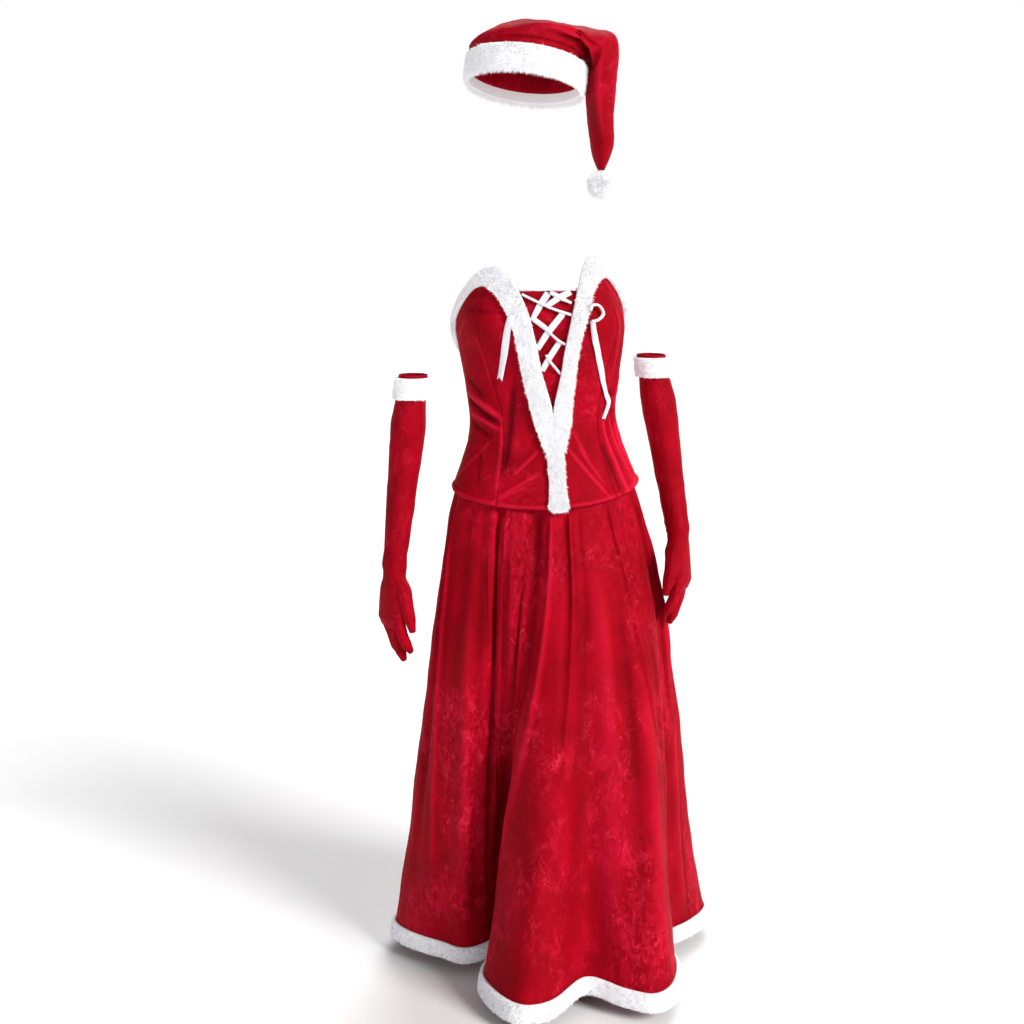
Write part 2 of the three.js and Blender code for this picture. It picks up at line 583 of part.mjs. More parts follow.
/** Rows of the skirt lie closer together near the waist, where its shape changes quickly. */
const skirtRow = (v) => 0.7 * v * v + 0.3 * v;

/** Columns of the front: closer together where its deep folds are. */
const closer = (u) => {
  const [first, last] = CLOSE_COLUMNS;
  if (u < first.at) return (u / first.at) * first.to;
  if (u > last.at) return mix(last.to, 1, (u - last.at) / (1 - last.at));
  return mix(first.to, last.to, (u - first.at) / (last.at - first.at));
};

function skirtPanel(name, from, to, columns, rows, spread) {
  const trim = 0.08;
  const place = (u, v, out) => onSkirt(mix(from + trim, to - trim, spread(u)), skirtRow(v), out);
  add(name, wall((u, v) => place(u, v, 0), (u, v) => place(u, v, -VELVET), columns, rows), VELVET_RED());
}
skirtPanel("skirt_front", -90, 90, 62, 10, closer);
skirtPanel("skirt_back", 90, 270, 40, 9, (u) => u);

/** Plush band sewn round the outside of the hem. */
function hemBand(name, from, to, columns, spread) {
  const trim = 0.08;
  const length = SKIRT_TOP - SKIRT[0].z;
  const place = (u, v, out) => {
    const angle = mix(from + trim, to - trim, spread(u));
    return onSkirt(angle, 1 - (HEM_BAND * (1 - v)) / length, out, HEM_OVERLAP * v);
  };
  const outer = (u, v) => place(u, v, HEM_GAP + pile(v));
  add(name, wall(outer, (u, v) => place(u, v, HEM_GAP), columns, 3), PLUSH_WHITE());
}
hemBand("plush_hem_front", -90, 90, 62, closer);
hemBand("plush_hem_back", 90, 270, 40, (u) => u);

/** Waistband of the skirt, hidden inside the bodice. */
function waistband() {
  const place = (u, v, out) => {
    const z = mix(WAISTBAND.bottom, WAISTBAND.top, v);
    return onSection(sectionAt(BODICE, z), 360 * u, z, out - VELVET - WAISTBAND.under);
  };
  add("skirt_waistband", wall((u, v) => place(u, v, 0), (u, v) => place(u, v, -VELVET), 32, 1, true), VELVET_RED());
}
waistband();

// ---------------------------------------------------------------------------------------------------
// Hat
// ---------------------------------------------------------------------------------------------------

/** Point of the hat band's own frame: an angle round the head, and a height over its middle. */
function onBand(angle, up, half, depth) {
  const [lean, roll] = [rad(BAND.lean), rad(BAND.roll)];
  const right = half * Math.sin(rad(angle));
  const back = -depth * Math.cos(rad(angle));
  return [
    BAND.x + right * Math.cos(roll) + up * Math.sin(roll),
    BAND.y + back * Math.cos(lean) + up * Math.sin(lean),
    BAND.z - right * Math.sin(roll) - back * Math.sin(lean) + up * Math.cos(lean),
  ];
}

function hatBand() {
  const place = (u, v, out) =>
    onBand(360 * u, (v - 0.5) * BAND.height, BAND.half + out, BAND.depth + out);
  add("hat_band", wall((u, v) => place(u, v, pile(v)), (u, v) => place(u, v, 0), 32, 4, true), PLUSH_WHITE());
}
hatBand();

/** Rings of the crown: inside the band, over its edge, then through the folded sections to the tip. */
function crownRing(order, shrink, sides) {
  const inBand = [
    { up: -4, grow: -LAID_GAP },
    { up: BAND.height / 2 + 1, grow: -LAID_GAP },
    { up: BAND.height / 2 + 7, grow: 5 },
  ];
  const ring = [];
  for (let i = 0; i < sides; i++) {
    const angle = (360 * i) / sides;
    if (order < inBand.length) {
      const { up, grow } = inBand[order];
      const out = grow - shrink;
      ring.push(onBand(angle, up, BAND.half + out, BAND.depth + out));
      continue;
    }
    const row = CROWN[order - inBand.length];
    const [midX, midZ] = [(row.outerX + row.innerX) / 2, (row.outerZ + row.innerZ) / 2];
    const [runX, runZ] = [(row.innerX - row.outerX) / 2, (row.innerZ - row.outerZ) / 2];
    const reach = Math.hypot(runX, runZ);
    const fold = 1 - CROWN_FOLDS.depth * (1 + Math.cos(rad(CROWN_FOLDS.count * angle + 40 * order))) / 2;
    const across = (reach * fold - shrink) * Math.sin(rad(angle));
    const deep = -(row.half * fold - shrink) * Math.cos(rad(angle));
    ring.push([
      midX + (across * runX) / reach,
      row.back + deep * Math.cos(rad(row.lean)),
      midZ + (across * runZ) / reach - deep * Math.sin(rad(row.lean)),
    ]);
  }
  return ring;
}

function hatCrown() {
  const sides = 21;
  const count = CROWN.length + 3;
  const rings = (shrink, total) => Array.from({ length: total }, (_, k) => crownRing(k, shrink, sides));
  const outside = rings(0, count);
  const inside = rings(VELVET, count - 1);
  const points = [...outside, ...inside].flat(2);
  const faces = [];
  const at = (layer, ring, i) => (layer * count + ring) * sides + (i % sides);
  const quad = (a, b, c, d) => faces.push(a, b, c, a, c, d);
  for (let k = 0; k < count - 1; k++) {
    for (let i = 0; i < sides; i++) {
      quad(at(0, k, i), at(0, k, i + 1), at(0, k + 1, i + 1), at(0, k + 1, i));
      if (k < count - 2) quad(at(1, k, i), at(1, k + 1, i), at(1, k + 1, i + 1), at(1, k, i + 1));
    }
  }
  for (let i = 0; i < sides; i++) quad(at(0, 0, i), at(1, 0, i), at(1, 0, i + 1), at(0, 0, i + 1));
  const tips = points.length / 3;
  const centre = (ring) => [0, 1, 2].map((k) => ring.reduce((sum, p) => sum + p[k], 0) / sides);
  points.push(...centre(outside.at(-1)), ...centre(inside.at(-1)));
  for (let i = 0; i < sides; i++) {
    faces.push(tips, at(0, count - 1, i), at(0, count - 1, i + 1));
    faces.push(tips + 1, at(1, count - 2, i + 1), at(1, count - 2, i));
  }
  add("hat_crown", closed(points, faces), VELVET_RED());
}
hatCrown();

function hatPompom() {
  const tip = CROWN.at(-1);
  const ball = new THREE.IcosahedronGeometry(POMPOM.radius, 2);
  ball.deleteAttribute("normal");
  ball.deleteAttribute("uv");
  ball.translate((tip.outerX + tip.innerX) / 2, tip.back, tip.outerZ - POMPOM.below);
  add("hat_pompom", ball, PLUSH_WHITE());
}
hatPompom();

// ---------------------------------------------------------------------------------------------------
// Gloves
// ---------------------------------------------------------------------------------------------------

const wasm = await Module();
wasm.setup();

/** A manifold-3d solid from a closed geometry. */
function solid(geometry) {
  const vertProperties = new Float32Array(geometry.attributes.position.array);
  return new wasm.Manifold(new wasm.Mesh({ numProp: 3, vertProperties, triVerts: new Uint32Array(geometry.index.array) }));
}

function geometryOf(manifold) {
  const mesh = manifold.getMesh();
  const geometry = new THREE.BufferGeometry();
  const points = new Float32Array(mesh.numProp === 3 ? mesh.vertProperties : []);
  geometry.setAttribute("position", new THREE.BufferAttribute(points, 3));
  geometry.setIndex(Array.from(mesh.triVerts));
  return mergeVertices(geometry, 1e-3);
}

/** A level oval ring, or one turned by the direction that the tube runs in. */
function oval(centre, half, depth, sides, direction = new THREE.Vector3(0, 0, -1)) {
  const front = new THREE.Vector3(0, -1, 0);
  const across = new THREE.Vector3().crossVectors(front, direction).normalize();
  const ahead = new THREE.Vector3().crossVectors(direction, across).normalize();
  return Array.from({ length: sides }, (_, i) => {
    const turn = (2 * Math.PI * (i + 0.5)) / sides;
    const point = new THREE.Vector3(...centre)
      .addScaledVector(across, half * Math.cos(turn))
      .addScaledVector(ahead, depth * Math.sin(turn));
    return point.toArray();
  });
}

/** Point on the straight line of the forearm, a given way down from the top of the glove. */
function armPoint({ elbow, wrist }, down) {
  const share = down / ARM.at(-1).down;
  return [0, 1, 2].map((k) => mix(elbow[k], wrist[k], share));
}

/** Forearm of the glove as a solid, smaller all round by the shrink and longer at the top. */
function forearm(glove, shrink, extra) {
  const rings = ARM.map(({ down, half, depth }, k) => {
    const reach = k === 0 ? -extra : down;
    return oval(armPoint(glove, reach), half - shrink, depth - shrink, 12);
  });
  const wristEnd = armPoint(glove, ARM.at(-1).down + 8);
  rings.push(oval(wristEnd, ARM.at(-1).half - shrink - 1, ARM.at(-1).depth - shrink - 1, 12));
  return solid(tube(rings));
}

/** A place of the hand: out from the palm, forward, and down from the wrist. */
const inHand = ({ side, wrist }, out, forward, down) => [
  wrist[0] + side * out,
  wrist[1] - forward,
  wrist[2] - down,
];

function palm(glove, shrink) {
  const rings = PALM.map(({ down, across, thick, out, forward }, k) => {
    const short = k === PALM.length - 1 ? shrink : 0;
    return oval(inHand(glove, out, forward, down - short), thick - shrink, across - shrink, 12);
  });
  return solid(tube(rings));
}

/** A finger: it leaves the palm straight and curls inwards towards its rounded tip. */
function finger(glove, { across, root, length, curl, radius }, shrink) {
  const knuckleOut = along(PALM, "down", "out", 104);
  const stations = 4;
  let [out, down] = [knuckleOut, root - 12];
  const rings = [];
  for (let k = 0; k <= stations; k++) {
    const share = k / stations;
    const bend = rad(curl * share + 4);
    const size = (radius - shrink) * (share > 0.99 ? 0.45 : 1 - 0.14 * share);
    const direction = new THREE.Vector3(-glove.side * Math.sin(bend), 0, -Math.cos(bend));
    const back = share > 0.99 ? shrink : 0;
    rings.push(oval(inHand(glove, out, 5 - across, down - back), size, size, 7, direction));
    const step = (length + 12) / stations * (k === stations - 1 ? 0.75 : 1.0625);
    out -= Math.sin(bend) * step;
    down += Math.cos(bend) * step;
  }
  return solid(tube(rings));
}

function thumb(glove, shrink) {
  const places = [THUMB.root, THUMB.knuckle, THUMB.tip].map(
    ([out, forward, down]) => new THREE.Vector3(...inHand(glove, out, -forward, down)),
  );
  const path = new THREE.CatmullRomCurve3(places);
  const sizes = [1.25, 1.3, 1.15, 1, 0.92, 0.45];
  const rings = sizes.map((size, k) => {
    const share = k / (sizes.length - 1);
    const centre = path.getPoint(share * (1 - (share > 0.99 ? shrink / 130 : 0))).toArray();
    const reach = THUMB.radius * size - shrink * Math.min(1, size);
    return oval(centre, reach, reach, 7, path.getTangent(share));
  });
  return solid(tube(rings));
}

/** Outer form of the glove, or the hollow inside it when shrunk. */
function gloveForm(glove, shrink, extra) {
  let form = forearm(glove, shrink, extra).add(palm(glove, shrink)).add(thumb(glove, shrink));
  for (const row of FINGERS) form = form.add(finger(glove, row, shrink));
  return form;
}

for (const [hand, glove] of Object.entries(GLOVES)) {
  const form = gloveForm(glove, 0, 0).subtract(gloveForm(glove, VELVET, 10));
  add(`glove_${hand}`, geometryOf(form), VELVET_RED());
  const place = (u, v, out) => {
    const down = v * CUFF.height;
    const turn = 2 * Math.PI * u;
    const half = along(ARM, "down", "half", down) + out;
    const depth = along(ARM, "down", "depth", down) + out;
    const [x, y, z] = armPoint(glove, down - 2);
    return [x + half * Math.sin(turn), y - depth * Math.cos(turn), z];
  };
  const outer = (u, v) => place(u, v, CUFF.gap + pile(v) * (CUFF.plush / PLUSH));
  const inner = (u, v) => place(u, v, CUFF.gap);
  add(`cuff_${hand}`, wall(outer, inner, 16, 3, true), PLUSH_WHITE());
}

export default dress;
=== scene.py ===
"""Looks for the christmas costume dress: velvet bodice, skirt, hat and gloves, white plush and satin laces."""

import math

import bmesh
import bpy
import numpy as np
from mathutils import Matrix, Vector


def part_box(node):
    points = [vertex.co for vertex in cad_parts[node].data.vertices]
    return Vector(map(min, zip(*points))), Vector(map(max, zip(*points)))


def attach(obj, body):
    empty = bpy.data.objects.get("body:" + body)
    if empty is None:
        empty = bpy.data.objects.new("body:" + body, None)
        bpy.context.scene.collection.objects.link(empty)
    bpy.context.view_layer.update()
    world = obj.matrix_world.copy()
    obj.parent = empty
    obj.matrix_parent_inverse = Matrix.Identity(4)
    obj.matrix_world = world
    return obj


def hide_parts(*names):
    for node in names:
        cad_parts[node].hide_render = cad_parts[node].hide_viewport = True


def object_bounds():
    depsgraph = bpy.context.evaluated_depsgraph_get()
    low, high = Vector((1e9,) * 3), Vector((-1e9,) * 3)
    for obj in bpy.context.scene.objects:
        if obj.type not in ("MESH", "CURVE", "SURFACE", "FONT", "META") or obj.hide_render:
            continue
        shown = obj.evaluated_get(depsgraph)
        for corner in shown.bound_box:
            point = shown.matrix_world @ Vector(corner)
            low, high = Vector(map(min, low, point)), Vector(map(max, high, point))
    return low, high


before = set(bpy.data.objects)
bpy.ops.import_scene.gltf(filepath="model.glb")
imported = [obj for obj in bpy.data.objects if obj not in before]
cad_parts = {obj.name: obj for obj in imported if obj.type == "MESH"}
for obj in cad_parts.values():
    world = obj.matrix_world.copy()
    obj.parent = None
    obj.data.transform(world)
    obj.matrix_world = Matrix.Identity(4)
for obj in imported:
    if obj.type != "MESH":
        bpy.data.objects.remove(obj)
cad_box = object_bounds()

# ---------------------------------------------------------------------------------------------------
# Studio: a pale seamless floor just under the hem, broad soft lights, and a camera at shoulder height, a
# little to the wearer's right of the front. Distances are metres, and the waist is the origin.
# ---------------------------------------------------------------------------------------------------

FLOOR_UNDER, FLOOR_REACH = 0.018, 60
FLOOR = cad_box[0][2] - FLOOR_UNDER
CAMERA_TURN = math.radians(-6.0)
CAMERA_TILT = math.radians(-10.42)
CAMERA_FIELD = math.radians(36.34)
CAMERA_AWAY, CAMERA_ASIDE, CAMERA_UP = 2.90, -0.057, 0.355


def linear(hex_colour):
    """sRGB hex to linear colour: each channel below 0.04045 over 12.92, else ((c + 0.055) / 1.055) to 2.4."""
    channels = [int(hex_colour[i:i + 2], 16) / 255 for i in (1, 3, 5)]
    return [c / 12.92 if c <= 0.04045 else ((c + 0.055) / 1.055) ** 2.4 for c in channels] + [1.0]


def node(tree, kind, settings=None, **links):
    """Adds one node: settings set its properties or sockets, links join its inputs to other sockets."""
    made = tree.nodes.new(kind)
    for key, value in (settings or {}).items():
        if key in made.inputs:
            made.inputs[key].default_value = value
        else:
            setattr(made, key, value)
    for key, socket in links.items():
        tree.links.new(socket, made.inputs[key.replace("_", " ")])
    return made


def new_material(name):
    """An empty node material and its tree."""
    material = bpy.data.materials.new(name)
    material.use_nodes = True
    material.node_tree.nodes.clear()
    return material, material.node_tree


camera = bpy.data.objects.new("camera", bpy.data.cameras.new("camera"))
bpy.context.scene.collection.objects.link(camera)
bpy.context.scene.camera = camera
camera.data.sensor_fit = "HORIZONTAL"
camera.data.angle = CAMERA_FIELD
turn_cos, turn_sin = math.cos(CAMERA_TURN), math.sin(CAMERA_TURN)
camera.location = (
    CAMERA_ASIDE * turn_cos + CAMERA_AWAY * turn_sin,
    CAMERA_ASIDE * turn_sin - CAMERA_AWAY * turn_cos,
    CAMERA_UP,
)
camera.rotation_euler = (math.pi / 2 + CAMERA_TILT, 0, CAMERA_TURN)


def soft_light(name, towards, strength, colour, spread):
    """A distant light: it comes from the given direction, and its spread in degrees softens the shadows."""
    data = bpy.data.lights.new(name, "SUN")
    data.energy = strength
    data.angle = math.radians(spread)
    data.color = colour
    light = bpy.data.objects.new(name, data)
    light.rotation_euler = Vector(towards).to_track_quat("Z", "Y").to_euler()
    bpy.context.scene.collection.objects.link(light)


soft_light("key_light", (0.72, -0.82, 0.62), 3.5, (1.0, 0.99, 0.98), 24)
soft_light("fill_light", (-0.85, -0.75, 0.25), 0.3, (0.98, 0.99, 1.0), 60)
soft_light("back_light", (0.35, 0.9, 0.75), 2.3, (1.0, 1.0, 1.0), 40)

# The studio's walls are full white up to a height and dim above it, so that the folds keep their shade.
world = bpy.data.worlds.new("studio")
world.use_nodes = True
tree = world.node_tree
direction = node(tree, "ShaderNodeTexCoord").outputs["Generated"]
upward = node(tree, "ShaderNodeSeparateXYZ", None, Vector=direction).outputs["Z"]
walls = node(tree, "ShaderNodeMapRange", {"From Min": 0.14, "From Max": 0.22, "To Min": 1.0, "To Max": 0.2},
             Value=upward)
tree.links.new(walls.outputs["Result"], tree.nodes["Background"].inputs["Strength"])
tree.nodes["Background"].inputs["Color"].default_value = (1.0, 1.0, 1.0, 1.0)
bpy.context.scene.world = world
bpy.context.scene.view_settings.view_transform = "Standard"

paper, tree = new_material("white_backdrop_paper")
shader = node(tree, "ShaderNodeBsdfPrincipled", {"Base Color": linear("#F7F7F8"), "Roughness": 0.9})
node(tree, "ShaderNodeOutputMaterial", None, Surface=shader.outputs[0])
floor_mesh = bpy.data.meshes.new("floor")
corners = [(-1, -1), (1, -1), (1, 1), (-1, 1)]
floor_mesh.from_pydata([(x * FLOOR_REACH, y * FLOOR_REACH, FLOOR) for x, y in corners], [], [(0, 1, 2, 3)])
floor_mesh.materials.append(paper)
floor = bpy.data.objects.new("floor", floor_mesh)
bpy.context.scene.collection.objects.link(floor)

# ---------------------------------------------------------------------------------------------------
# Bodice: six boned panels of crushed panne velvet, cut to the figure and open in a V over the front. The
# hem is turned to the outside and stitched, so it stands as a soft roll. Sizes are millimetres and
# degrees round the body: 0 is the front, 90 the wearer's left side.
# ---------------------------------------------------------------------------------------------------

MM = 0.001
VELVET = 2.0


def table(names, *rows):
    """Named columns from rows of numbers."""
    return dict(zip(names.split(), np.array(rows, float).T))


def along(rows, key, column, x):
    """Smooth curve through a table: the straight rise between two rows, plus a bend that carries each row's
    mean slope through it."""
    places, values = rows[key], rows[column]
    slope = np.empty_like(values)
    slope[1:-1] = (values[2:] - values[:-2]) / (places[2:] - places[:-2])
    slope[0] = (values[1] - values[0]) / (places[1] - places[0])
    slope[-1] = (values[-1] - values[-2]) / (places[-1] - places[-2])
    x = np.clip(x, places[0], places[-1])
    i = np.clip(np.searchsorted(places, x, side="right") - 1, 0, len(places) - 2)
    span = places[i + 1] - places[i]
    rise = values[i + 1] - values[i]
    t = (x - places[i]) / span
    bend = (1 - t) * (slope[i] * span - rise) + t * (rise - slope[i + 1] * span)
    return values[i] + rise * t + t * (1 - t) * bend


def smoothstep(x, low, high):
    """0 below low, 1 above high, and 3t^2 - 2t^3 between them."""
    t = np.clip((x - low) / (high - low), 0, 1)
    return t * t * (3 - 2 * t)


def mix(a, b, t):
    """The way from a to b: a at 0, b at 1, and straight on past them."""
    return a + (b - a) * t


# The body's sections: the middle across, half the width, and the depth in front and behind.
BODICE = table(
    "z middle half front back",
    (-156, 7, 183, 123, 129), (-118, 5, 171, 115, 120), (-80, 3, 156, 106, 108), (-42, 1, 142, 101, 99),
    (0, 0, 136, 98, 90), (70, -2, 143, 108, 94), (135, -4, 153, 118, 98), (182, -5, 155, 124, 100),
    (218, -5, 147, 118, 97), (255, -6, 134, 108, 92), (310, -6, 112, 86, 80),
)
# The cups: where each one's middle is, how far it rises, and how far it spreads across in degrees and up.
CUP_ANGLE, CUP_HEIGHT, CUP_RISE, CUP_SPREAD, CUP_REACH = 40, 180, 16, 24, 52
TOP_EDGE = table(
    "angle z",
    (20, 246), (34, 284), (44, 291), (56, 284), (70, 262), (80, 239), (90, 210), (102, 172), (116, 144),
    (135, 134), (180, 131),
)
TOP_TILT = 7
HEM_SIDE, HEM_POINT, HEM_TILT = -113, 39, 6
# Angles by height: the middle of the V, and from it to the V's edge and to the seam over the cup.
SEAMS = table(
    "z centre vee cup",
    (-150, 3.8, 0, 39), (-60, 3.6, 0, 39), (18, 2.8, 0, 41), (60, 2.4, 3.6, 44), (100, 2.1, 6.3, 47),
    (145, 1.8, 9, 49), (180, 1.6, 11.6, 49), (205, 1.5, 14.4, 50), (238, 1.5, 20.5, 51), (262, 1.5, 27.5, 52),
    (288, 1.5, 36, 53),
)


def on_section(rows, angle, z, out):
    """Point of an oval section at an angle: front and back have their own depth, and it is moved out along
    the oval's own normal."""
    sine, cosine = np.sin(np.radians(angle)), np.cos(np.radians(angle))
    depth = np.where(cosine > 0, along(rows, "z", "front", z), along(rows, "z", "back", z))
    half = along(rows, "z", "half", z)
    normal_x, normal_y = sine / half, -cosine / depth
    size = np.hypot(normal_x, normal_y)
    x = along(rows, "z", "middle", z) + half * sine + normal_x / size * out
    return np.stack([x, -depth * cosine + normal_y / size * out, z + 0 * x], -1)


def cup_rise(angle, z):
    """Two soft hills over the cups: a bell across the angle times a bell up the height."""
    high = ((z - CUP_HEIGHT) / CUP_REACH) ** 2
    hills = [np.exp(-((angle - side * CUP_ANGLE) / CUP_SPREAD) ** 2 - high) for side in (-1, 1)]
    return CUP_RISE * sum(hills)


def on_bodice(angle, z, out=0.0):
    """Point on the outside of the bodice, moved out."""
    return on_section(BODICE, angle, z, out + cup_rise(angle, z))


def turn_back(angle):
    """An angle brought into -180 to 180 degrees."""
    return (angle + 180) % 360 - 180


def top_edge(angle):
    """Height of the top edge: its curve, the same on both sides, plus a tilt that lifts the wearer's left."""
    return along(TOP_EDGE, "angle", "z", np.abs(turn_back(angle))) + TOP_TILT * np.sin(np.radians(angle))


def bodice_hem(angle):
    """Height of the hem: level behind, with a point in front that grows as the square of its half cosine wave,
    plus a tilt that lifts the wearer's left."""
    front = (1 + np.cos(np.radians(angle))) / 2
    return HEM_SIDE - HEM_POINT * front ** 2 + HEM_TILT * np.sin(np.radians(angle))


def seam(column, z):
    """Angle of a seam at a height, never below 0."""
    return np.maximum(0, along(SEAMS, "z", column, z))


def ripple(points, wave, seed):
    """Smooth uneven waves in space: the mean of five sine waves whose directions, phases and lengths, about the
    given one, are drawn from the seed."""
    rng = np.random.default_rng(seed)
    total = 0
    for _ in range(5):
        direction = rng.normal(size=3)
        direction /= np.linalg.norm(direction)
        steps = points @ direction * (2 * math.pi / wave)
        total = total + np.sin(steps * rng.uniform(0.7, 1.4) + rng.uniform(0, 6.3))
    return total / 5


def ridges(rows, across, up):
    """Creases on a flat map of the cloth: each is a bell across its line, which bows by its bend, and fades
    towards both ends. Positive heights stand out and negative ones press in."""
    total = np.zeros(np.broadcast(across, up).shape)
    for x0, y0, x1, y1, bend, height, width in rows:
        run = np.array([x1 - x0, y1 - y0], float)
        length = np.hypot(*run)
        run /= length
        t = ((across - x0) * run[0] + (up - y0) * run[1]) / length
        aside = -(across - x0) * run[1] + (up - y0) * run[0] - bend * 4 * t * (1 - t)
        fade = smoothstep(t, 0.0, 0.22) * (1 - smoothstep(t, 0.7, 1.0))
        total += height * np.exp(-(aside / width) ** 2) * fade
    return total


def grid_faces(rows, columns, start, ring):
    """Index quads of a grid of points, wrapping round when it is a ring."""
    i = np.arange(columns if ring else columns - 1)
    j = np.arange(rows - 1)
    jj, ii = np.meshgrid(j, i, indexing="ij")
    nxt = (ii + 1) % columns
    low, high = jj * columns, (jj + 1) * columns
    quads = np.stack([low + ii, low + nxt, high + nxt, high + ii], -1)
    return quads.reshape(-1, 4) + start


def mesh_object(name, points, faces, material, smooth=True):
    """A mesh object from millimetre points and one array of faces, each a row of point numbers."""
    mesh = bpy.data.meshes.new(name)
    mesh.from_pydata((np.asarray(points) * MM).tolist(), [], [list(map(int, f)) for f in faces])
    mesh.polygons.foreach_set("use_smooth", np.full(len(mesh.polygons), smooth))
    mesh.materials.append(material)
    piece = bpy.data.objects.new(name, mesh)
    bpy.context.scene.collection.objects.link(piece)
    return piece


def cloth_wall(name, outer, inner, material, ring=False, crease_light_and_shade=None):
    """A closed wall of cloth between an outer and an inner grid of points, with its rims closed. The crease
    light and shade, if given, is painted on the velvet at each point: a highlight up to 1, a shade down to -1."""
    rows, columns = outer.shape[:2]
    count = rows * columns
    points = np.concatenate([outer.reshape(-1, 3), inner.reshape(-1, 3)])
    front = grid_faces(rows, columns, 0, ring)
    back = grid_faces(rows, columns, count, ring)[:, ::-1]
    i = np.arange(columns if ring else columns - 1)
    nxt = (i + 1) % columns
    top = (rows - 1) * columns
    rims = [np.stack([i, i + count, nxt + count, nxt], -1),
            np.stack([top + i, top + nxt, top + nxt + count, top + i + count], -1)]
    if not ring:
        j = np.arange(rows - 1) * columns
        end = columns - 1
        rims += [np.stack([j, j + columns, j + columns + count, j + count], -1),
                 np.stack([j + end, j + end + count, j + end + columns + count, j + end + columns], -1)]
    piece = mesh_object(name, points, np.concatenate([front, back, *rims]), material)
    if crease_light_and_shade is not None:
        marks = piece.data.attributes.new("crease_light_and_shade", "FLOAT", "POINT")
        marks.data.foreach_set("value", np.tile(np.clip(crease_light_and_shade, -1, 1).ravel(), 2).astype(np.float32))
    turn_out(piece)
    return piece


def turn_out(piece):
    """Turns a closed mesh's faces outwards: a negative volume means that all of them are flipped."""
    solid = bmesh.new()
    solid.from_mesh(piece.data)
    if solid.calc_volume(signed=True) < 0:
        bmesh.ops.reverse_faces(solid, faces=solid.faces)
        solid.to_mesh(piece.data)
    solid.free()


# Sizes in the velvet in millimetres: patches of crushed marks, clouds of the two reds, and the pile's grain.
PATCH, CLOUD, PILE = 110.0, 60.0, 1.2


def panne_velvet(name, mark_size, mark_amount, drop=1.0):
    """Crushed panne velvet: polyester knit whose pile was rolled flat in all directions. The ground is a deep
    red in soft clouds; over it lie patches a hand wide where the pile catches the light in small feathered
    marks and short bright strokes, drawn out down the cloth by the drop. Creases carry painted light and
    shade: a brighter red is painted as a highlight on raised creases and a nearly black red as shade in
    sunken ones. The pile's own grain of 1.2 mm is coarser than the real one, so that it shows."""
    material, tree = new_material(name)
    place = node(tree, "ShaderNodeTexCoord").outputs["Object"]
    drawn = node(tree, "ShaderNodeMapping", None, Vector=place)
    drawn.inputs["Scale"].default_value = (1.0, 1.0, 1.0 / drop)

    def noise(size, detail, rough, distortion, low, high):
        """Noise with spots of the given size in mm, cut to 0 below low and 1 above high."""
        spots = node(tree, "ShaderNodeTexNoise", {"Scale": 1000 / size, "Detail": detail, "Roughness": rough,
                                                  "Distortion": distortion}, Vector=drawn.outputs[0])
        cut = node(tree, "ShaderNodeMapRange", {"From Min": low, "From Max": high}, Value=spots.outputs["Fac"])
        return cut.outputs[0]

    def times(a, b):
        """Product of two factors, each a number or a socket."""
        product = node(tree, "ShaderNodeMath", {"operation": "MULTIPLY"})
        for socket, value in zip(product.inputs, (a, b)):
            if isinstance(value, float):
                socket.default_value = value
            else:
                tree.links.new(value, socket)
        return product.outputs[0]

    def blend(factor, below, above):
        """Mix of two colours by a factor; the lower one is a colour or another mix."""
        mixed = node(tree, "ShaderNodeMix", {"data_type": "RGBA"}, Factor=factor)
        if isinstance(below, list):
            mixed.inputs[6].default_value = below
        else:
            tree.links.new(below, mixed.inputs[6])
        mixed.inputs[7].default_value = above
        return mixed.outputs[2]

    patches = noise(PATCH, 3.0, 0.5, 0.4, 0.43, 0.62)
    feathers = noise(mark_size, 9.0, 0.7, 1.3, 0.46, 0.7)
    near_half = node(tree, "ShaderNodeMath", {"operation": "PINGPONG"},
                     Value=noise(mark_size * 1.4, 4.0, 0.62, 0.7, 0.2, 0.8))
    near_half.inputs[1].default_value = 0.5
    strokes = node(tree, "ShaderNodeMapRange", {"From Min": 0.45, "From Max": 0.5}, Value=near_half.outputs[0])
    broken = times(strokes.outputs[0], noise(mark_size * 0.8, 4.0, 0.65, 0.3, 0.48, 0.62))
    colour = blend(noise(CLOUD, 4.0, 0.55, 0.3, 0.32, 0.68), linear("#84000D"), linear("#A00018"))
    colour = blend(times(times(feathers, patches), mark_amount), colour, linear("#D0183A"))
    colour = blend(times(times(broken, patches), mark_amount), colour, linear("#E02C4A"))
    # Painted crease light: brighter red as highlight on raised creases, nearly black red as shade in sunken
    # ones.
    crease_light_and_shade = node(tree, "ShaderNodeAttribute", {"attribute_name": "crease_light_and_shade"}).outputs["Fac"]
    painted_crease_highlight = node(tree, "ShaderNodeMapRange", {"From Min": 0.08, "To Max": 0.75}, Value=crease_light_and_shade)
    painted_crease_shade = node(tree, "ShaderNodeMapRange", {"From Min": -0.08, "From Max": -1.0, "To Max": 0.75},
                Value=crease_light_and_shade)
    colour = blend(painted_crease_highlight.outputs[0], colour, linear("#D81838"))
    colour = blend(painted_crease_shade.outputs[0], colour, linear("#48000A"))
    pile = node(tree, "ShaderNodeTexNoise", {"Scale": 1000 / PILE, "Detail": 2.0}, Vector=place)
    lumps = node(tree, "ShaderNodeBump", {"Strength": 0.25, "Distance": 0.003}, Height=feathers)
    nap = node(tree, "ShaderNodeBump", {"Strength": 0.3, "Distance": 0.0005}, Height=pile.outputs["Fac"],
               Normal=lumps.outputs[0])
    shader = node(tree, "ShaderNodeBsdfPrincipled",
                  {"Roughness": 0.7, "Specular IOR Level": 0.05, "Sheen Weight": 0.14, "Sheen Roughness": 0.3,
                   "Sheen Tint": linear("#FF1C3C")},
                  Base_Color=colour, Normal=nap.outputs[0])
    node(tree, "ShaderNodeOutputMaterial", None, Surface=shader.outputs[0])
    return material


bodice_velvet = panne_velvet("crushed_panne_velvet_bodice", 22.0, 0.5)
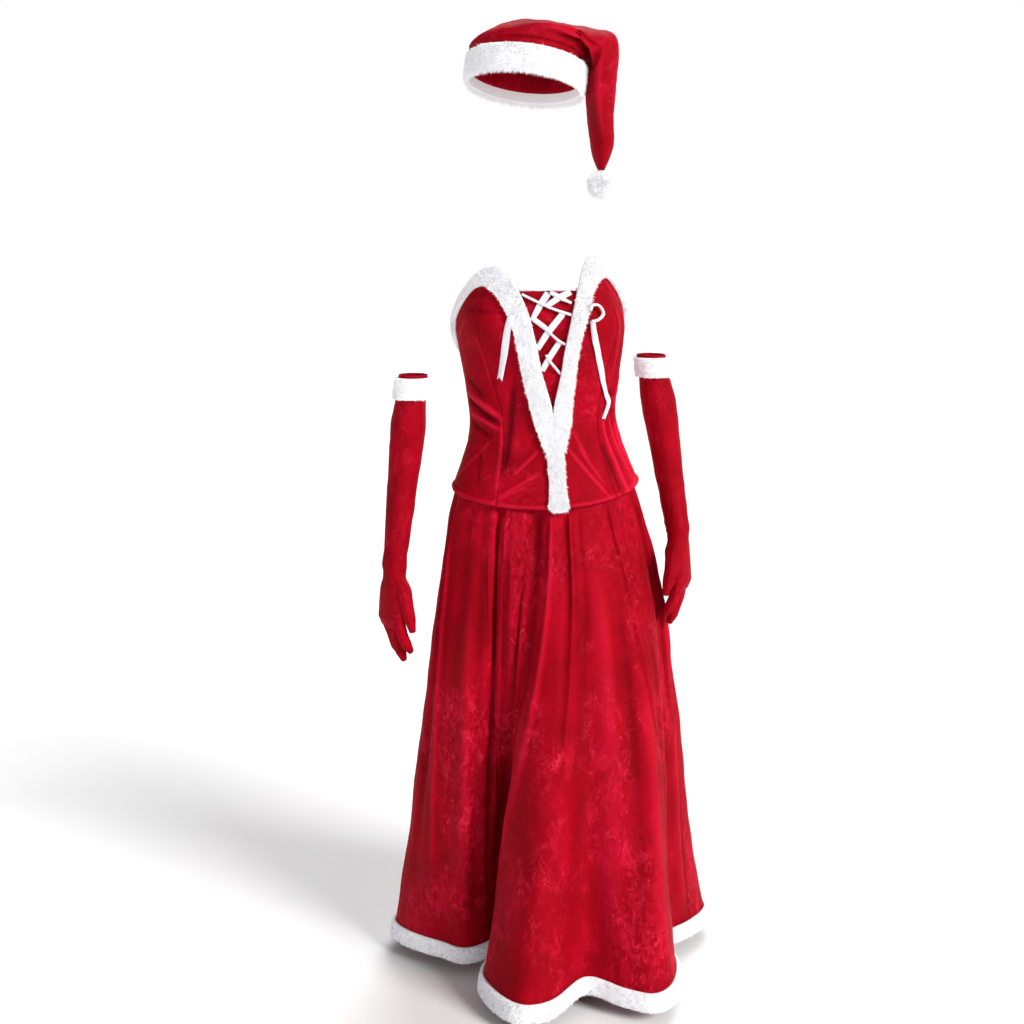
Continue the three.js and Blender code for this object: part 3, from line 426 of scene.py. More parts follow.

# Creases on the map of angle times the map's scale, which makes it about millimetres, and height: pulls from
# the waist seam to the hem, folds where the sides give at the waist, and faint lines left by packing. Each
# row holds both ends of a crease, its bend, its height and its width. Their heights also set the painted
# highlights and shade on the velvet.
BODICE_MAP = 2
BODICE_CREASES = [
    (-68, -150, -76, 46, 3, 2.0, 4.0), (-66, -112, -44, 104, 6.5, -3.2, 6.0),
    (-172, -118, -84, -18, 0, 1.8, 3.4),
    (-56, -98, -12, -40, 0, 2.0, 3.0), (-70, -133, -6, -78, 0, 2.0, 2.8), (-84, -146, -22, -104, 0, 1.3, 2.6),
    (-174, 60, -68, 2, 5, 4.0, 6.0), (-176, 44, -74, -7, 4, -4.0, 5.5), (-168, 20, -70, -16, 3, 3.0, 4.6),
    (-170, 4, -84, -34, 3, -2.4, 5.0), (-160, 84, -104, 40, 5, -2.6, 6.0), (-104, 170, -92, 60, 5, 1.4, 4.0),
    (-136, 209, -58, 205, -3, -1.8, 3.2), (-150, 150, -116, 196, 4, 1.6, 4.0),
    (-120, -40, -104, -126, 3, -1.6, 6.0),
    (22, -34, 82, -150, 0, 2.4, 3.2), (40, -32, 76, -120, 0, 2.0, 2.8), (34, -4, 60, -70, 0, 1.6, 3.0),
    (94, 30, 109, -146, 3, 3.2, 3.4), (104, -24, 115, -150, 0, 2.8, 3.2), (89, -24, 101, -148, 0, -3.2, 4.0),
    (116, 30, 142, -126, 4, 3.0, 4.6), (124, 10, 154, -132, 4, -3.0, 5.0), (134, 50, 170, -96, 6, 2.6, 5.0),
    (110, 66, 128, -14, 5, -2.6, 5.5), (150, 96, 128, 14, 5, 2.6, 6.0), (98, 236, 118, 60, 5, 1.8, 4.0),
    (128, 214, 140, 110, 4, 2.0, 6.0), (182, 20, 186, -210, 0, 6.0, 44),
    (196, 44, 300, 4, 6, 1.2, 6), (192, 20, 290, -16, 5, -1.1, 6), (200, -10, 300, -40, 4, 1.0, 5),
    (340, 90, 332, -80, 3, 1.0, 8), (360, 60, 358, -70, 0, -0.9, 7), (384, 90, 390, -80, 3, 1.0, 8),
    (424, 4, 528, 44, 6, 1.2, 6), (430, -16, 530, 20, 5, -1.1, 6), (420, -40, 520, -10, 4, 1.0, 5),
]
PANEL_LOW, PANEL_HIGH, TOP_UNDER_PLUSH = -150, 288, 4
SEAM_DIP, SEAM_DIP_WIDTH, PUCKER, PUCKER_REACH = 1.2, 2.2, 0.5, 14
HEM_ROLL, HEM_ROLL_UP, HEM_ROLL_WIDTH = 3.2, 4.5, 4.2
STITCH_DIP, STITCH_UP, STITCH_WIDTH = 1.0, 12, 2.2
PANEL_MM_PER_DEGREE = 2.35
# Crease height in mm at which the painted highlight and shade on the velvet are full.
CREASE_SHADE = 2.8


def bodice_panel(name, start_seam, end_seam, columns, rows):
    """A panel between two seams: the outer grid carries its creases, dips at its seams, puckers beside them
    and the rolled hem; the inner grid follows it a cloth's thickness inside."""
    u, v = np.meshgrid(np.linspace(0, 1, columns), np.linspace(0, 1, rows))
    height = mix(PANEL_LOW, PANEL_HIGH, v)
    angle = mix(start_seam(height), end_seam(height), u)
    z = mix(bodice_hem(angle), top_edge(angle) - TOP_UNDER_PLUSH, v)
    flat = on_bodice(angle, z)
    from_seam = np.minimum(angle - angle[:, :1], angle[:, -1:] - angle) * PANEL_MM_PER_DEGREE
    dip = -SEAM_DIP * np.exp(-(from_seam / SEAM_DIP_WIDTH) ** 2)
    pucker = PUCKER * np.exp(-from_seam / PUCKER_REACH) * ripple(flat, 17, 5)
    hem_height = z - bodice_hem(angle)
    roll = HEM_ROLL * np.exp(-((hem_height - HEM_ROLL_UP) / HEM_ROLL_WIDTH) ** 2)
    roll = roll - STITCH_DIP * np.exp(-((hem_height - STITCH_UP) / STITCH_WIDTH) ** 2)
    soft = 0.9 * ripple(flat, 70, 11) + 0.35 * ripple(flat, 26, 12)
    creases = ridges(BODICE_CREASES, angle * BODICE_MAP, z)
    out = creases + dip + pucker + roll + soft * smoothstep(hem_height, 0, 30)
    # The creases, seam dips and hem roll with its stitch line are also painted on the velvet as light and shade.
    piece = cloth_wall(name + "_velvet", on_bodice(angle, z, out), on_bodice(angle, z, out - VELVET),
                       bodice_velvet, crease_light_and_shade=(creases + dip + 0.5 * roll) / CREASE_SHADE)
    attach(piece, "root")
    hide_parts(name)


def steady(angle):
    """A seam that stands at one angle at every height."""
    return lambda z: angle + 0 * z


bodice_panel("bodice_front_left", lambda z: seam("centre", z) + seam("vee", z),
             lambda z: seam("centre", z) + seam("cup", z), 44, 140)
bodice_panel("bodice_front_right", lambda z: seam("centre", z) - seam("cup", z),
             lambda z: seam("centre", z) - seam("vee", z), 44, 140)
bodice_panel("bodice_side_front_left", lambda z: seam("centre", z) + seam("cup", z), steady(90), 40, 140)
bodice_panel("bodice_side_front_right", steady(-90), lambda z: seam("centre", z) - seam("cup", z), 40, 140)
bodice_panel("bodice_back_left", steady(90), steady(180), 50, 100)
bodice_panel("bodice_back_right", steady(180), steady(270), 50, 100)

# ---------------------------------------------------------------------------------------------------
# Stomacher: the plain velvet panel behind the V, tucked under both fronts and stitched there. Its top edge
# is bound with a white satin edging.
# ---------------------------------------------------------------------------------------------------

STOMACHER_TOP, STOMACHER_BOTTOM, STOMACHER_TUCK, STOMACHER_UNDER = 240, 8, 5, 1.9
EDGING, EDGING_THICK, EDGING_UNDER = 6, 4.0, 0.6


def woven_satin(name):
    """White satin ribbon: bright polyester warp floats, woven and heat cut, which give it a smooth soft shine.
    Its ribs stand 1.9 mm apart, coarser than real threads, so that they show."""
    material, tree = new_material(name)
    place = node(tree, "ShaderNodeTexCoord").outputs["Object"]
    ribs = node(tree, "ShaderNodeTexWave", {"Scale": 1000 / 6.0, "Distortion": 0.6, "Detail": 1.0},
                Vector=place)
    shade = node(tree, "ShaderNodeTexNoise", {"Scale": 60.0, "Detail": 3.0}, Vector=place)
    tint = node(tree, "ShaderNodeMix", {"data_type": "RGBA"})
    tree.links.new(shade.outputs["Fac"], tint.inputs["Factor"])
    tint.inputs[6].default_value = linear("#D2D0D9")
    tint.inputs[7].default_value = linear("#E6E5EA")
    bump = node(tree, "ShaderNodeBump", {"Strength": 0.12, "Distance": 0.0004}, Height=ribs.outputs["Fac"])
    shader = node(tree, "ShaderNodeBsdfPrincipled",
                  {"Roughness": 0.34, "Specular IOR Level": 0.5, "Sheen Weight": 0.2},
                  Base_Color=tint.outputs[2], Normal=bump.outputs[0])
    node(tree, "ShaderNodeOutputMaterial", None, Surface=shader.outputs[0])
    return material


satin = woven_satin("white_satin_ribbon")

u, v = np.meshgrid(np.linspace(-1, 1, 36), np.linspace(0, 1, 80))
z = mix(STOMACHER_BOTTOM, STOMACHER_TOP, v)
angle = seam("centre", z) + (seam("vee", z) + STOMACHER_TUCK) * u
under = -VELVET - STOMACHER_UNDER + 0.5 * ripple(on_bodice(angle, z), 60, 31)
stomacher = cloth_wall("stomacher_velvet", on_bodice(angle, z, under), on_bodice(angle, z, under - VELVET),
                       bodice_velvet)
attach(stomacher, "root")
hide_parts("stomacher")

# The edging is a flattened tube along the top edge. It waves a little, and is thinner where its stitches pull.
u, v = np.meshgrid(np.linspace(-1, 1, 70), np.linspace(0, 2 * math.pi, 13)[:-1])
edging_middle = STOMACHER_TOP + 0.4 + EDGING / 2
angle = seam("centre", edging_middle) + (seam("vee", edging_middle + 4) + 1) * u
round_out = -VELVET - EDGING_UNDER + EDGING_THICK / 2 * np.cos(v) + 0.25 * np.sin(26 * u + 0.8) * np.cos(v)
tube = on_bodice(angle, edging_middle + EDGING / 2 * np.sin(v) + 0.5 * np.sin(5 * u), round_out)
core = mix(tube, tube.mean(0), 0.9)
edging = cloth_wall("stomacher_edging_satin", tube.transpose(1, 0, 2)[:, ::-1],
                    core.transpose(1, 0, 2)[:, ::-1], satin, ring=True)
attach(edging, "root")
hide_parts("stomacher_edging")

# ---------------------------------------------------------------------------------------------------
# Plush trim of the bodice: short white fur fabric, cut in strips, folded over the V edges and the top edge
# and stitched down. Its hairs are about 7 mm long, fall outwards at the cut edges and stick in small tufts.
# ---------------------------------------------------------------------------------------------------

# Full height of the pile and its height at the edges, the gap under it, and the share of it that is a body.
PLUSH, PLUSH_EDGE, LAID_GAP, PLUSH_BODY = 9.0, 3.0, 0.9, 0.62
HAIR_THICK, HAIR_LENGTH = 0.62, 6.6


def white_plush(name, shadow="#EDEDF1", glow=0.08):
    """White acrylic plush: dense matt pile, clean white at its tips, with painted shade of a cooler grey where
    the tufts, 11 mm across, part. A faint painted glow stands in for the light that passes from fibre to fibre."""
    material, tree = new_material(name)
    place = node(tree, "ShaderNodeTexCoord").outputs["Object"]
    tufts = node(tree, "ShaderNodeTexNoise", {"Scale": 1000 / 11.0, "Detail": 4.0, "Roughness": 0.6},
                 Vector=place)
    ramp = node(tree, "ShaderNodeValToRGB", None, Fac=tufts.outputs["Fac"])
    ramp.color_ramp.elements[0].position, ramp.color_ramp.elements[0].color = 0.32, linear(shadow)
    ramp.color_ramp.elements[1].position, ramp.color_ramp.elements[1].color = 0.5, linear("#F8F8FA")
    hairs = node(tree, "ShaderNodeTexNoise", {"Scale": 1000 / 1.6, "Detail": 3.0}, Vector=place)
    bump = node(tree, "ShaderNodeBump", {"Strength": 0.5, "Distance": 0.0016}, Height=hairs.outputs["Fac"])
    shader = node(tree, "ShaderNodeBsdfPrincipled",
                  {"Roughness": 0.85, "Specular IOR Level": 0.15, "Sheen Weight": 0.35, "Sheen Roughness": 0.5,
                   "Emission Color": linear("#FFFFFF"), "Emission Strength": glow},
                  Base_Color=ramp.outputs["Color"], Normal=bump.outputs[0])
    node(tree, "ShaderNodeOutputMaterial", None, Surface=shader.outputs[0])
    return material


plush = white_plush("white_acrylic_plush")


def pile_height(across):
    """Height of the plush over the cloth: low at its edges and full in its middle, along half an oval."""
    return mix(PLUSH_EDGE, PLUSH, np.sqrt(np.clip(1 - (2 * across - 1) ** 2, 0, 1)))


def grid_normals(points, ring=False):
    """Unit normals of a grid: the cross product of its two central differences."""
    if ring:
        run_u = (np.roll(points, -1, 1) - np.roll(points, 1, 1)) / 2
    else:
        run_u = np.gradient(points, axis=1)
    normal = np.cross(run_u, np.gradient(points, axis=0))
    return normal / np.maximum(np.linalg.norm(normal, axis=-1, keepdims=True), 1e-9)


def hairs(name, base, normals, lay, length, thick, count, seed, material, ring=False):
    """Pile as one mesh of thin closed spikes. Roots are spread over the base grid by area; each spike leans
    from the normal towards the lay, and slow waves in space draw neighbours into tufts."""
    rng = np.random.default_rng(seed)
    if ring:
        base = np.concatenate([base, base[:, :1]], 1)
        normals = np.concatenate([normals, normals[:, :1]], 1)
    side_a = base[:-1, 1:] - base[:-1, :-1]
    side_b = base[1:, :-1] - base[:-1, :-1]
    area = np.linalg.norm(np.cross(side_a, side_b), axis=-1)
    cell = rng.choice(area.size, count, p=area.ravel() / area.sum())
    j, i = np.unravel_index(cell, area.shape)
    s, t = rng.random((2, count, 1))

    def blend(grid):
        """A grid's value at each root, mixed both ways between the corners of its cell."""
        low = mix(grid[j, i], grid[j, i + 1], s)
        return mix(low, mix(grid[j + 1, i], grid[j + 1, i + 1], s), t)

    root = blend(base)
    tuft = np.stack([ripple(root, 9, seed + k) + 0.7 * ripple(root, 21, seed + 10 + k) for k in range(3)], -1)
    lean = blend(normals) + np.asarray(lay) + 0.42 * tuft + rng.normal(0, 0.2, (count, 3))
    lean /= np.linalg.norm(lean, axis=1, keepdims=True)
    reach = length * rng.uniform(0.7, 1.15, (count, 1))
    side = np.cross(lean, rng.normal(size=(count, 3)))
    side /= np.linalg.norm(side, axis=1, keepdims=True)
    other = np.cross(lean, side)
    thirds = np.radians([0, 120, 240])
    ring_points = [root + thick * (math.cos(turn) * side + math.sin(turn) * other) for turn in thirds]
    points = np.stack([*ring_points, root + lean * reach], 1).reshape(-1, 3)
    first = 4 * np.arange(count)[:, None]
    faces = np.concatenate([first + f for f in ([0, 1, 3], [1, 2, 3], [2, 0, 3], [0, 2, 1])])
    piece = mesh_object(name, points, faces, material, smooth=False)
    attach(piece, "root")
    return piece


def plush_piece(name, place, columns, rows, count, seed, ring=False, across_rows=True, pile=None,
                material=plush, lay=(0, 0, -0.35), length=HAIR_LENGTH, inset=0.12):
    """A strip of plush: its backed body from the cloth up to part of its pile height, and its hairs. The body
    is cut a little narrower than the strip, because its hairs reach past its edges."""
    u, v = np.meshgrid(np.linspace(0, 1, columns, endpoint=not ring), np.linspace(0, 1, rows))
    if across_rows:
        v = mix(inset, 1 - inset, v)
    else:
        u = mix(inset, 1 - inset, u)
    across = v if across_rows else u
    height = (pile(across, u) if pile else pile_height(across)) * PLUSH_BODY
    flat = place(u, v, height)
    uneven = 0.7 * ripple(flat, 34, seed + 70) + 0.45 * ripple(flat, 13, seed + 71)
    top = place(u, v, LAID_GAP + height + uneven * np.sin(math.pi * across))
    body = cloth_wall(name + "_pelt", top, place(u, v, LAID_GAP + 0 * height), material, ring=ring)
    normals = grid_normals(top, ring)
    outward = np.sign(np.sum(normals * (top - place(u, v, -6.0 + 0 * height)), -1, keepdims=True))
    pelt = hairs(name + "_hairs", top, normals * outward, lay, length, HAIR_THICK, count, seed, material, ring)
    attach(body, "root")
    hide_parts(name)


# The front strips from the V's foot to the armhole: their inner and outer edges, and the left strip's own outer
# edge, in degrees and heights.
FRONT_PLUSH = table(
    "order inner_angle inner_z outer_angle outer_z left_angle",
    (0, 0.25, -50, 8.6, -50, 8.4), (1, 0.25, -18, 13.5, -20, 13.2), (2, 0.25, 14, 17.9, 12, 16.6),
    (3, 2.4, 55, 20.8, 50, 17.4), (4, 5.2, 100, 23.4, 96, 18.6), (5, 8, 145, 24.6, 140, 19.8),
    (6, 10.6, 180, 26.4, 172, 22.2), (7, 13.4, 207, 30.2, 198, 26.2), (8, 19.4, 242, 37.5, 226, 32.4),
    (9, 27, 273, 46, 244, 43), (10, 36, 293, 53, 250, 52.4), (11, 46, 298, 60, 247, 60),
    (12, 58, 291, 66, 238, 66), (13, 70, 270, 73, 222, 73), (14, 81, 245, 80, 202, 80),
    (15, 92, 213, 90, 175, 90), (16, 104, 177, 102, 143, 102), (17, 117, 151, 116, 119, 116),
)


def front_plush(side):
    """Place on one front strip: across it from its inner to its outer edge, along it from the V's foot up."""
    def edge(which, s):
        """Angle and height of an edge, with the V's lean added in its low part and the tilt in its top part."""
        z = along(FRONT_PLUSH, "order", which + "_z", s)
        column = "left_angle" if which == "outer" and side > 0 else which + "_angle"
        angle = np.maximum(0.04, along(FRONT_PLUSH, "order", column, s) - 0.2 * (1 - smoothstep(s, 2.2, 3.6)))
        centred = 1 - smoothstep(s, 8, 13)
        return side * angle + seam("centre", z) * centred, z + side * TOP_TILT * smoothstep(s, 6, 10)

    def place(u, v, out):
        """The straight way from edge to edge; in the low part it starts at the very edge, without the inset."""
        s = u * FRONT_PLUSH["order"][-1]
        v = mix(v, (v - 0.12) / 0.88, 1 - smoothstep(s, 2.4, 4.0))
        inner, outer = edge("inner", s), edge("outer", s)
        return on_bodice(mix(inner[0], outer[0], v), mix(inner[1], outer[1], v), out)
    return place


BACK_PLUSH_START, BACK_PLUSH_END, BACK_PLUSH_OVER, BACK_PLUSH_WIDTH = 117.3, 242.7, 8, 32


def back_plush(u, v, out):
    """A band of one width under the back's top edge, which it passes a little."""
    angle = mix(BACK_PLUSH_START, BACK_PLUSH_END, u)
    top = top_edge(angle) + BACK_PLUSH_OVER
    return on_bodice(angle, mix(top - BACK_PLUSH_WIDTH, top, v), out)


CENTRE_PLUSH_TOP, CENTRE_PLUSH_OVER = -50.35, 4


def centre_plush(u, v, out):
    """From the V's foot to below the hem: its half width shrinks to a waist and grows again, straight both
    times, and its last tenth closes in to under half along an oval's arc."""
    z = mix(CENTRE_PLUSH_TOP, bodice_hem(0) - CENTRE_PLUSH_OVER, v)
    reach = np.where(v < 0.6, mix(8.2, 6.6, v / 0.6), mix(6.6, 8.4, (v - 0.6) / 0.4))
    reach = reach * np.sqrt(np.clip(1 - ((v - 0.9) / 0.11) ** 2 * (v > 0.9), 0, 1))
    return on_bodice(seam("centre", z) - 1.2 * v + mix(-reach, reach, u), z, out)


def full_where_closed(across, share):
    """Pile of a front strip: full up to the inner edge in the low part, where the two strips meet."""
    closed = 1 - smoothstep(share * FRONT_PLUSH["order"][-1], 2.2, 3.6)
    return pile_height(mix(across, np.maximum(across, 0.5), closed))


plush_piece("plush_front_left", front_plush(1), 180, 15, 12500, 101,
            pile=full_where_closed)
plush_piece("plush_front_right", front_plush(-1), 180, 15, 12500, 102,
            pile=full_where_closed)
plush_piece("plush_back", back_plush, 100, 12, 4500, 103)
plush_piece("plush_centre", centre_plush, 18, 50, 3600, 104, across_rows=False)

# ---------------------------------------------------------------------------------------------------
# Lacing: one white satin ribbon, 12 mm wide, laced loosely over the stomacher. Where it is drawn, it rolls up
# along its length. Both ends come out over the plush: the right one hangs straight, and the left one makes a
# small loop and hangs to the waist.
# ---------------------------------------------------------------------------------------------------

RIBBON_WIDTH, RIBBON_THICK = 12.0, 0.5


def ribbon(name, places, tip=0.0, steps=56):
    """A ribbon along [angle, height, out, curl, lean] places. Its section is an arc of constant length: the
    curl is the degrees it turns through, so 0 is flat and 300 nearly a tube, and the lean rolls it on one
    edge. The tip draws the edges of its last end back in mm, or forward where it is negative."""
    places = np.array(places, float)
    rows = {"s": np.arange(len(places), dtype=float)}
    for k, column in enumerate(("angle", "z", "out", "curl", "lean")):
        rows[column] = places[:, k]
    s = np.linspace(0, len(places) - 1, steps)
    angle, z, out, curl, lean = [along(rows, "s", c, s) for c in ("angle", "z", "out", "curl", "lean")]
    curl, lean = np.radians(np.maximum(curl, 8)), np.radians(lean)
    per_degree = np.radians(1) * np.hypot(along(BODICE, "z", "half", z) * np.cos(np.radians(angle)),
                                          along(BODICE, "z", "front", z) * np.sin(np.radians(angle)))
    run = np.stack([np.gradient(angle) * per_degree, np.gradient(z)], -1)
    run /= np.linalg.norm(run, axis=1, keepdims=True)
    t = np.linspace(-0.5, 0.5, 13)[:, None]
    radius = RIBBON_WIDTH / curl
    flat, rise = radius * np.sin(t * curl), radius * (np.cos(t * curl) - np.cos(curl / 2))
    side = flat * np.cos(lean) - rise * np.sin(lean)
    lift = rise * np.cos(lean) + flat * np.sin(lean) + RIBBON_WIDTH / 2 * np.abs(np.sin(lean)) * 0.8
    pull = tip * np.abs(2 * t) * smoothstep(s, s[-1] - 0.12, s[-1])
    top_angle = angle - (run[:, 1] * side + run[:, 0] * pull) / per_degree
    top_z = z + run[:, 0] * side - run[:, 1] * pull
    piece = cloth_wall(name + "_satin", on_bodice(top_angle, top_z, out + lift + RIBBON_THICK),
                       on_bodice(top_angle, top_z, out + lift), satin)
    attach(piece, "root")
    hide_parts(name)


# Strands over the stomacher. The wearer's right V edge is at negative angles.
ribbon("lace_rising_1", [[-10.8, 191, -1.6, 150, 8], [-5.4, 217, -0.8, 30, 10], [0.2, 237, -1.2, 60, -6]])
ribbon("lace_rising_2", [[-1.4, 214, -0.9, 110, 8], [7.4, 228, -0.6, 70, 14], [16.8, 238.5, -1.4, 90, 0]])
ribbon("lace_rising_3", [[-7.6, 138, -1.6, 120, -10], [0.6, 172, -0.6, 30, 6], [9.8, 202, -1.2, 70, 12]])
ribbon("lace_rising_4", [[-4.6, 99, -1.6, 130, 0], [0.8, 124, -0.6, 60, 14], [6.9, 149, -1.2, 90, 0]])
ribbon("lace_falling_1", [[-18.6, 234.9, -1.4, 300, 0], [-7.8, 222.8, -0.2, 300, 20],
                          [1.7, 210.6, 0.6, 290, 0], [14.6, 198.4, -1.0, 270, -10]])
ribbon("lace_falling_2", [[1.4, 239.0, -0.2, 180, 20], [8.4, 229, 0.8, 140, 10], [15.8, 219.4, -1.0, 280, 0]])
ribbon("lace_falling_3", [[-11.6, 195, -1.4, 120, 20], [-1.6, 174.5, 0.6, 160, 10], [1.4, 165, 0.8, 300, 0],
                          [6.5, 152.3, 0.0, 290, -10], [10.8, 146.5, -1.4, 280, 0]])
ribbon("lace_falling_4", [[-2.0, 128, 0.4, 300, 0], [1.2, 115, 0.4, 300, 12], [8.0, 93, -1.2, 290, 0]])

ribbon("lace_end_right", [[-23.6, 199, 9.4, 70, 0], [-25.6, 178, 3.4, 60, 12], [-28.6, 141, 2.2, 40, -8],
                          [-32.0, 112, 1.6, 50, 10], [-35.4, 86, 2.0, 70, 14]], tip=-6)
ribbon("lace_end_left", [[26.8, 189, 9.0, 180, 0], [28.6, 166, 4.2, 150, 14], [33.2, 138, 2.2, 50, -8],
                         [41.0, 97, 1.8, 70, 10], [48.9, 57.8, 1.8, 60, -8], [53.6, 35, 2.6, 150, 20],
                         [48.4, 7, 2.2, 200, 10]], tip=-4, steps=110)
ribbon("lace_loop", [[25.6, 188, 9.6, 260, 20], [30.0, 190.6, 8.0, 280, 20], [34.8, 201, 6.0, 280, 20],
                     [33.4, 213.4, 7.0, 280, 20], [28.6, 215.0, 9.0, 280, 20], [25.8, 206, 10.0, 260, 10]],
       steps=90)

# ---------------------------------------------------------------------------------------------------
# Skirt: two flared panels of the same velvet on a narrow waistband under the bodice. The cloth drops in
# narrow pleats from the waist and opens into deep uneven folds; one folds right in at the front right.
# ---------------------------------------------------------------------------------------------------

# The cone under the folds. Inside the bodice it keeps the bodice's own sections, a little smaller.
SKIRT_EASE = 6
upper = [k for k in range(len(BODICE["z"])) if BODICE["z"][k] <= 0]
SKIRT = table(
    "z middle half front back",
    (-1068, 37, 324, 276, 292), (-860, 30, 290, 236, 256), (-640, 26, 262, 200, 222),
    (-400, 19, 226, 160, 180), (-290, 14, 206, 142, 157), (-200, 8, 187, 126, 136),
    *[(BODICE["z"][k], BODICE["middle"][k], BODICE["half"][k] - SKIRT_EASE, BODICE["front"][k] - SKIRT_EASE,
       BODICE["back"][k] - SKIRT_EASE) for k in upper],
)
SKIRT_TOP, SKIRT_FLOOR = -26, -1068
FOLDS_START, FOLD_GROWTH = -150, 1.55
# The folded hem: the angle at the waist that each point drops from, its place, and its height over the lowest.
HEM_FOLDS = table(
    "waist x y lift",
    (-104, -290, 100, 4), (-88, -271, 48, 6), (-74, -234, 2, 10), (-62, -196, -22, 8), (-50, -156, -48, 6),
    (-42, -112, -30, 8), (-35, -72, 22, 12), (-30, -44, 30, 14), (-25, -52, -24, 12), (-19, -104, -82, 6),
    (-12, -132, -152, 2), (-6, -114, -228, 0), (1, -74, -284, 0), (8, -18, -272, 0), (18, 56, -210, 12),
    (29, 130, -252, 4), (38, 180, -273, 2), (47, 220, -238, 4), (58, 243, -152, 8), (67, 232, -92, 10),
    (76, 246, -34, 10), (88, 302, 20, 6), (98, 344, 68, 4), (107, 361, 116, 2), (120, 334, 176, 4),
    (134, 254, 186, 10), (148, 216, 268, 4), (164, 110, 246, 10), (180, 36, 308, 4), (196, -50, 250, 10),
    (212, -140, 270, 4), (226, -178, 186, 10), (240, -256, 178, 4), (249, -276, 134, 4),
)
# The same hem run on past both its ends, so that the curve closes smoothly.
HEM_LOOP = {
    key: np.concatenate([column[-4:] - (360 if key == "waist" else 0), column,
                         column[:4] + (360 if key == "waist" else 0)])
    for key, column in HEM_FOLDS.items()
}
# Pleats dropped from the waistband: angle, depth of the hollow, height where it ends, spread in degrees, and
# degrees by which its line drifts in each 100 mm down.
PLEATS = [
    (-82, 7, -1040, 4.5, 0.3), (-57, 3, -520, 4.5, 0), (-44, 4, -760, 4, 0.6), (-32.6, 10, -900, 2.4, 0.9),
    (-9.6, 14, -1040, 4.4, 1.5), (8, 5, -560, 3, 0.6), (32, 4, -760, 3.6, 0), (66, 6, -820, 4, -1.6),
    (104, 6, -700, 4, 0), (130, 7, -620, 4, 0), (153, 7, -660, 4, 0), (178, 7, -660, 4, 0),
    (202, 7, -640, 4, 0), (226, 7, -600, 4, 0),
]
PLEATS_START, PLEATS_FULL = -60, -150


def pleat_depth(angle, z):
    """Sum of the pleats: a bell across each one's angle, fading in under the waist and out at its foot."""
    total = 0
    for middle, depth, foot, spread, drift in PLEATS:
        away = turn_back(angle - middle - drift * np.minimum(0, z - PLEATS_FULL) / 100) / spread
        total = total + depth * np.exp(-away ** 2) * smoothstep(z, foot, foot / 2)
    return total * (1 - smoothstep(z, PLEATS_FULL, PLEATS_START))


def skirt_point(angle, v, drop):
    """Point of the skirt's cloth: the cone's section at that height, plus the way from the cone to the folded
    hem times a growth that is nothing at the bodice's hem and one at the floor."""
    turn = (angle - HEM_FOLDS["waist"][0]) % 360 + HEM_FOLDS["waist"][0]
    hem = [along(HEM_LOOP, "waist", key, turn) for key in ("x", "y", "lift")]
    z = mix(SKIRT_TOP, SKIRT_FLOOR + hem[2] - drop, v)
    cone = on_section(SKIRT, angle, z, -pleat_depth(angle, z))
    foot = on_section(SKIRT, angle, SKIRT_FLOOR + 0 * z, 0)
    growth = np.maximum(0, (FOLDS_START - z) / (FOLDS_START - SKIRT_FLOOR)) ** FOLD_GROWTH
    return np.stack([cone[..., 0] + (hem[0] - foot[..., 0]) * growth,
                     cone[..., 1] + (hem[1] - foot[..., 1]) * growth, z], -1)


def on_skirt(angle, v, out, drop=0.0):
    """A point of the skirt moved out along the level normal of its folds."""
    point = skirt_point(angle, v, drop)
    run = skirt_point(angle + 0.6, v, drop) - skirt_point(angle - 0.6, v, drop)
    size = np.maximum(np.hypot(run[..., 0], run[..., 1]), 1e-9)
    return point + np.stack([run[..., 1] / size * out, -run[..., 0] / size * out, 0 * out], -1)


